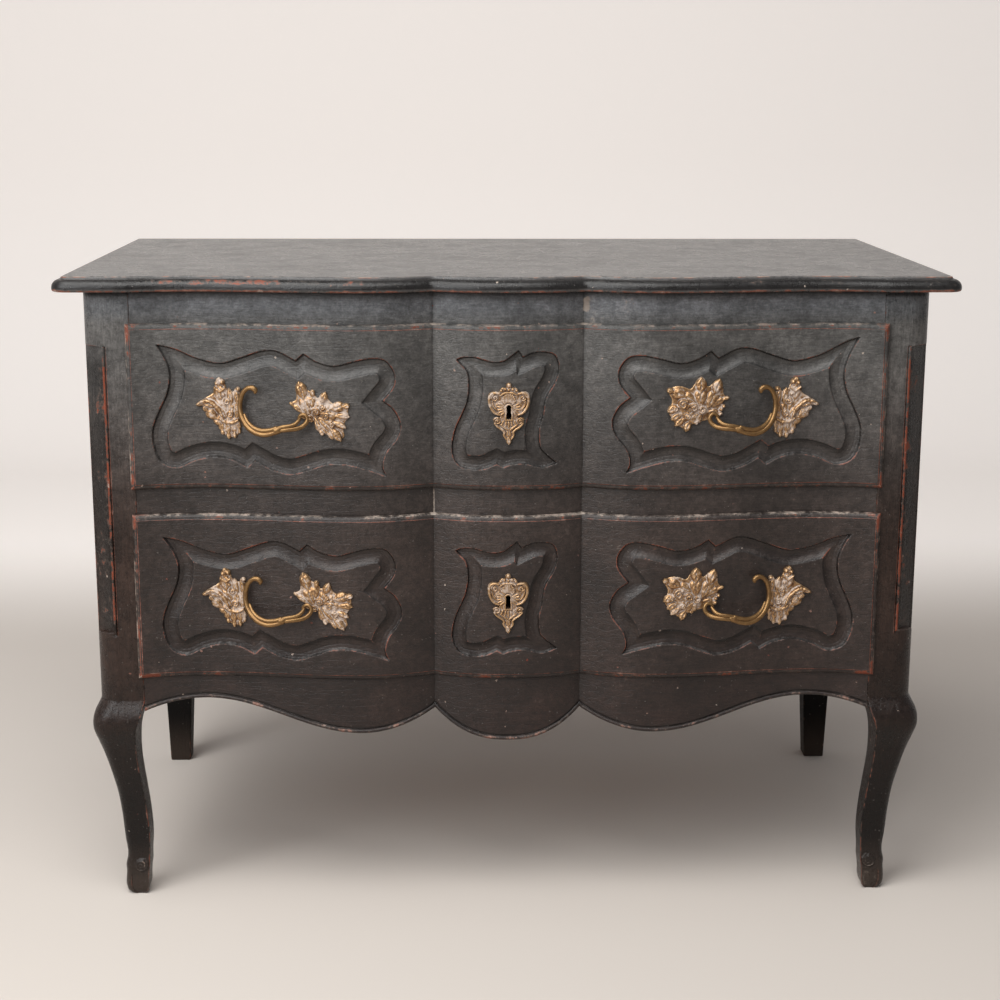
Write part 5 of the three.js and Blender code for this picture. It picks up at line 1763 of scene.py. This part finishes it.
for name in DRAWERS:
    for word in ("left", "right"):
        keep(f"{name}_drawer_side_{word}", beech_back, 0.8)
        keep(f"{name}_runner_{word}", pine_back, 0.8)
    keep(f"{name}_drawer_back", beech_across, 0.8)
    keep(f"{name}_drawer_bottom", beech_across, 0.6)
    keep(f"{name}_lock_case", iron, 0.4)
    keep(f"{name}_lock_bolt", iron, 0.6)
    for index in range(1, 5):
        keep(f"{name}_handle_nut_{index}", iron, 0.7)
for word in ("left", "right"):
    keep(f"upper_kicker_{word}", pine_back, 0.8)
for place in ("top", "bottom"):
    keep(f"back_{place}_rail", pine_across, 0.8)
for index in range(1, 4):
    keep(f"back_board_{index}", pine_up_darker if index == 2 else pine_up, 1.6)


# The room: a pale floor that turns up into a pale backdrop

BACKDROP_GLOW = 0.34


FLOOR_FRONT = -5
WALL_Y = 3.6
WALL_TOP = 5.5
WALL_TURN = 0.9
WALL_HALF = 6


def studio():
    """Paper that shows the camera and the gloss a pale wall, and lights the chest a little browner, as
    a wooden floor would. The wall glows faintly, because the lamps barely reach it."""
    material, tree, place = new_material("pale_studio_paper")
    rays = add(tree, "LightPath").node.outputs
    seen = rays["Is Camera Ray"]
    for other in ("Is Glossy Ray", "Is Transmission Ray"):
        seen = add(tree, "Math", {0: seen, 1: rays[other]}, operation="MAXIMUM")
    back = add(tree, "SeparateXYZ", {0: place}, "Y")
    back = add(tree, "MapRange", {0: back, 1: 0.9, 2: 1.9}, **SMOOTH)
    paper, bounce = (
        add(tree, "Mix", {0: back, 6: linear(near_code), 7: linear(far_code)}, **MIX)
        for near_code, far_code in (("#cdc5bd", "#ebe5e0"), ("#8f7a69", "#cfc6bf"))
    )
    colour = add(tree, "Mix", {0: seen, 6: bounce, 7: paper}, **MIX)
    glow = add(tree, "Math", {0: seen, 1: back}, operation="MULTIPLY")
    glow = add(tree, "Math", {0: glow, 1: BACKDROP_GLOW}, operation="MULTIPLY")
    skin = add(tree, "BsdfPrincipled", {
        "Base Color": colour, "Roughness": 0.9, "Emission Color": linear("#ebe5e0"),
        "Emission Strength": glow,
    })
    add(tree, "OutputMaterial", {"Surface": skin})
    turn_start = WALL_Y - WALL_TURN
    profile = [(FLOOR_FRONT, 0), (turn_start, 0)]
    for turn in np.linspace(0, math.pi / 2, 16):
        profile.append((turn_start + WALL_TURN * math.sin(turn), WALL_TURN * (1 - math.cos(turn))))
    profile += [(WALL_Y, WALL_TOP)]
    points = []
    faces = []
    for index, (y, z) in enumerate(profile):
        points += [(-WALL_HALF, y, z), (WALL_HALF, y, z)]
        if index:
            faces.append((2 * index - 2, 2 * index - 1, 2 * index + 1, 2 * index))
    mesh = bpy.data.meshes.new("studio_paper")
    mesh.from_pydata(points, [], faces)
    mesh.shade_smooth()
    mesh.materials.append(material)
    paper = bpy.data.objects.new("studio_paper", mesh)
    bpy.context.scene.collection.objects.link(paper)


def lamp(name, place, aim, width, height, power, colour):
    light = bpy.data.lights.new(name, "AREA")
    light.shape = "RECTANGLE"
    light.size = width
    light.size_y = height
    light.energy = power
    light.color = colour
    made = bpy.data.objects.new(name, light)
    made.location = place
    made.rotation_euler = (Vector(aim) - Vector(place)).to_track_quat("-Z", "Y").to_euler()
    made.visible_camera = False
    bpy.context.scene.collection.objects.link(made)


def lights():
    """A wall of windows ahead and to the left, a ceiling and a low fill."""
    world = bpy.data.worlds.new("room")
    world.use_nodes = True
    background = world.node_tree.nodes["Background"]
    background.inputs["Color"].default_value = (0.97, 0.97, 1.0, 1)
    background.inputs["Strength"].default_value = 0.3
    bpy.context.scene.world = world
    lamp("windows", (-1.85, -2.4, 1.9), (-0.25, 0, 0.65), 2.2, 1.7, 64, (0.98, 0.99, 1.0))
    lamp("ceiling", (-0.7, -1.3, 3.3), (0, 0, 0.4), 3.0, 2.0, 98, (1.0, 0.99, 0.97))
    lamp("fill", (2.8, -2.4, 1.5), (0, 0, 0.5), 1.6, 1.6, 2, (1.0, 0.97, 0.93))


CAMERA_PLACE = (-0.068, -2.733, 1.125)
CAMERA_PITCH = 0.220
CAMERA_YAW = 0.0232
CAMERA_ROLL = 0.0023
CAMERA_LENS = 66.8


def camera():
    """The photograph's viewpoint, as a pinhole fitted to it gave it."""
    ahead = Vector((
        math.sin(CAMERA_YAW) * math.cos(CAMERA_PITCH), math.cos(CAMERA_YAW) * math.cos(CAMERA_PITCH),
        -math.sin(CAMERA_PITCH),
    ))
    right = Vector((math.cos(CAMERA_YAW), -math.sin(CAMERA_YAW), 0))
    up = right.cross(ahead)
    turned_right = math.cos(CAMERA_ROLL) * right + math.sin(CAMERA_ROLL) * up
    turned_up = -math.sin(CAMERA_ROLL) * right + math.cos(CAMERA_ROLL) * up
    data = bpy.data.cameras.new("camera")
    data.lens = CAMERA_LENS
    data.sensor_width = 36
    data.sensor_fit = "HORIZONTAL"
    made = bpy.data.objects.new("camera", data)
    made.matrix_world = Matrix.Translation(CAMERA_PLACE) @ Matrix(
        (turned_right, turned_up, -ahead)
    ).transposed().to_4x4()
    bpy.context.scene.collection.objects.link(made)
    bpy.context.scene.camera = made


studio()
lights()
camera()
bpy.context.scene.view_settings.view_transform = "Standard"
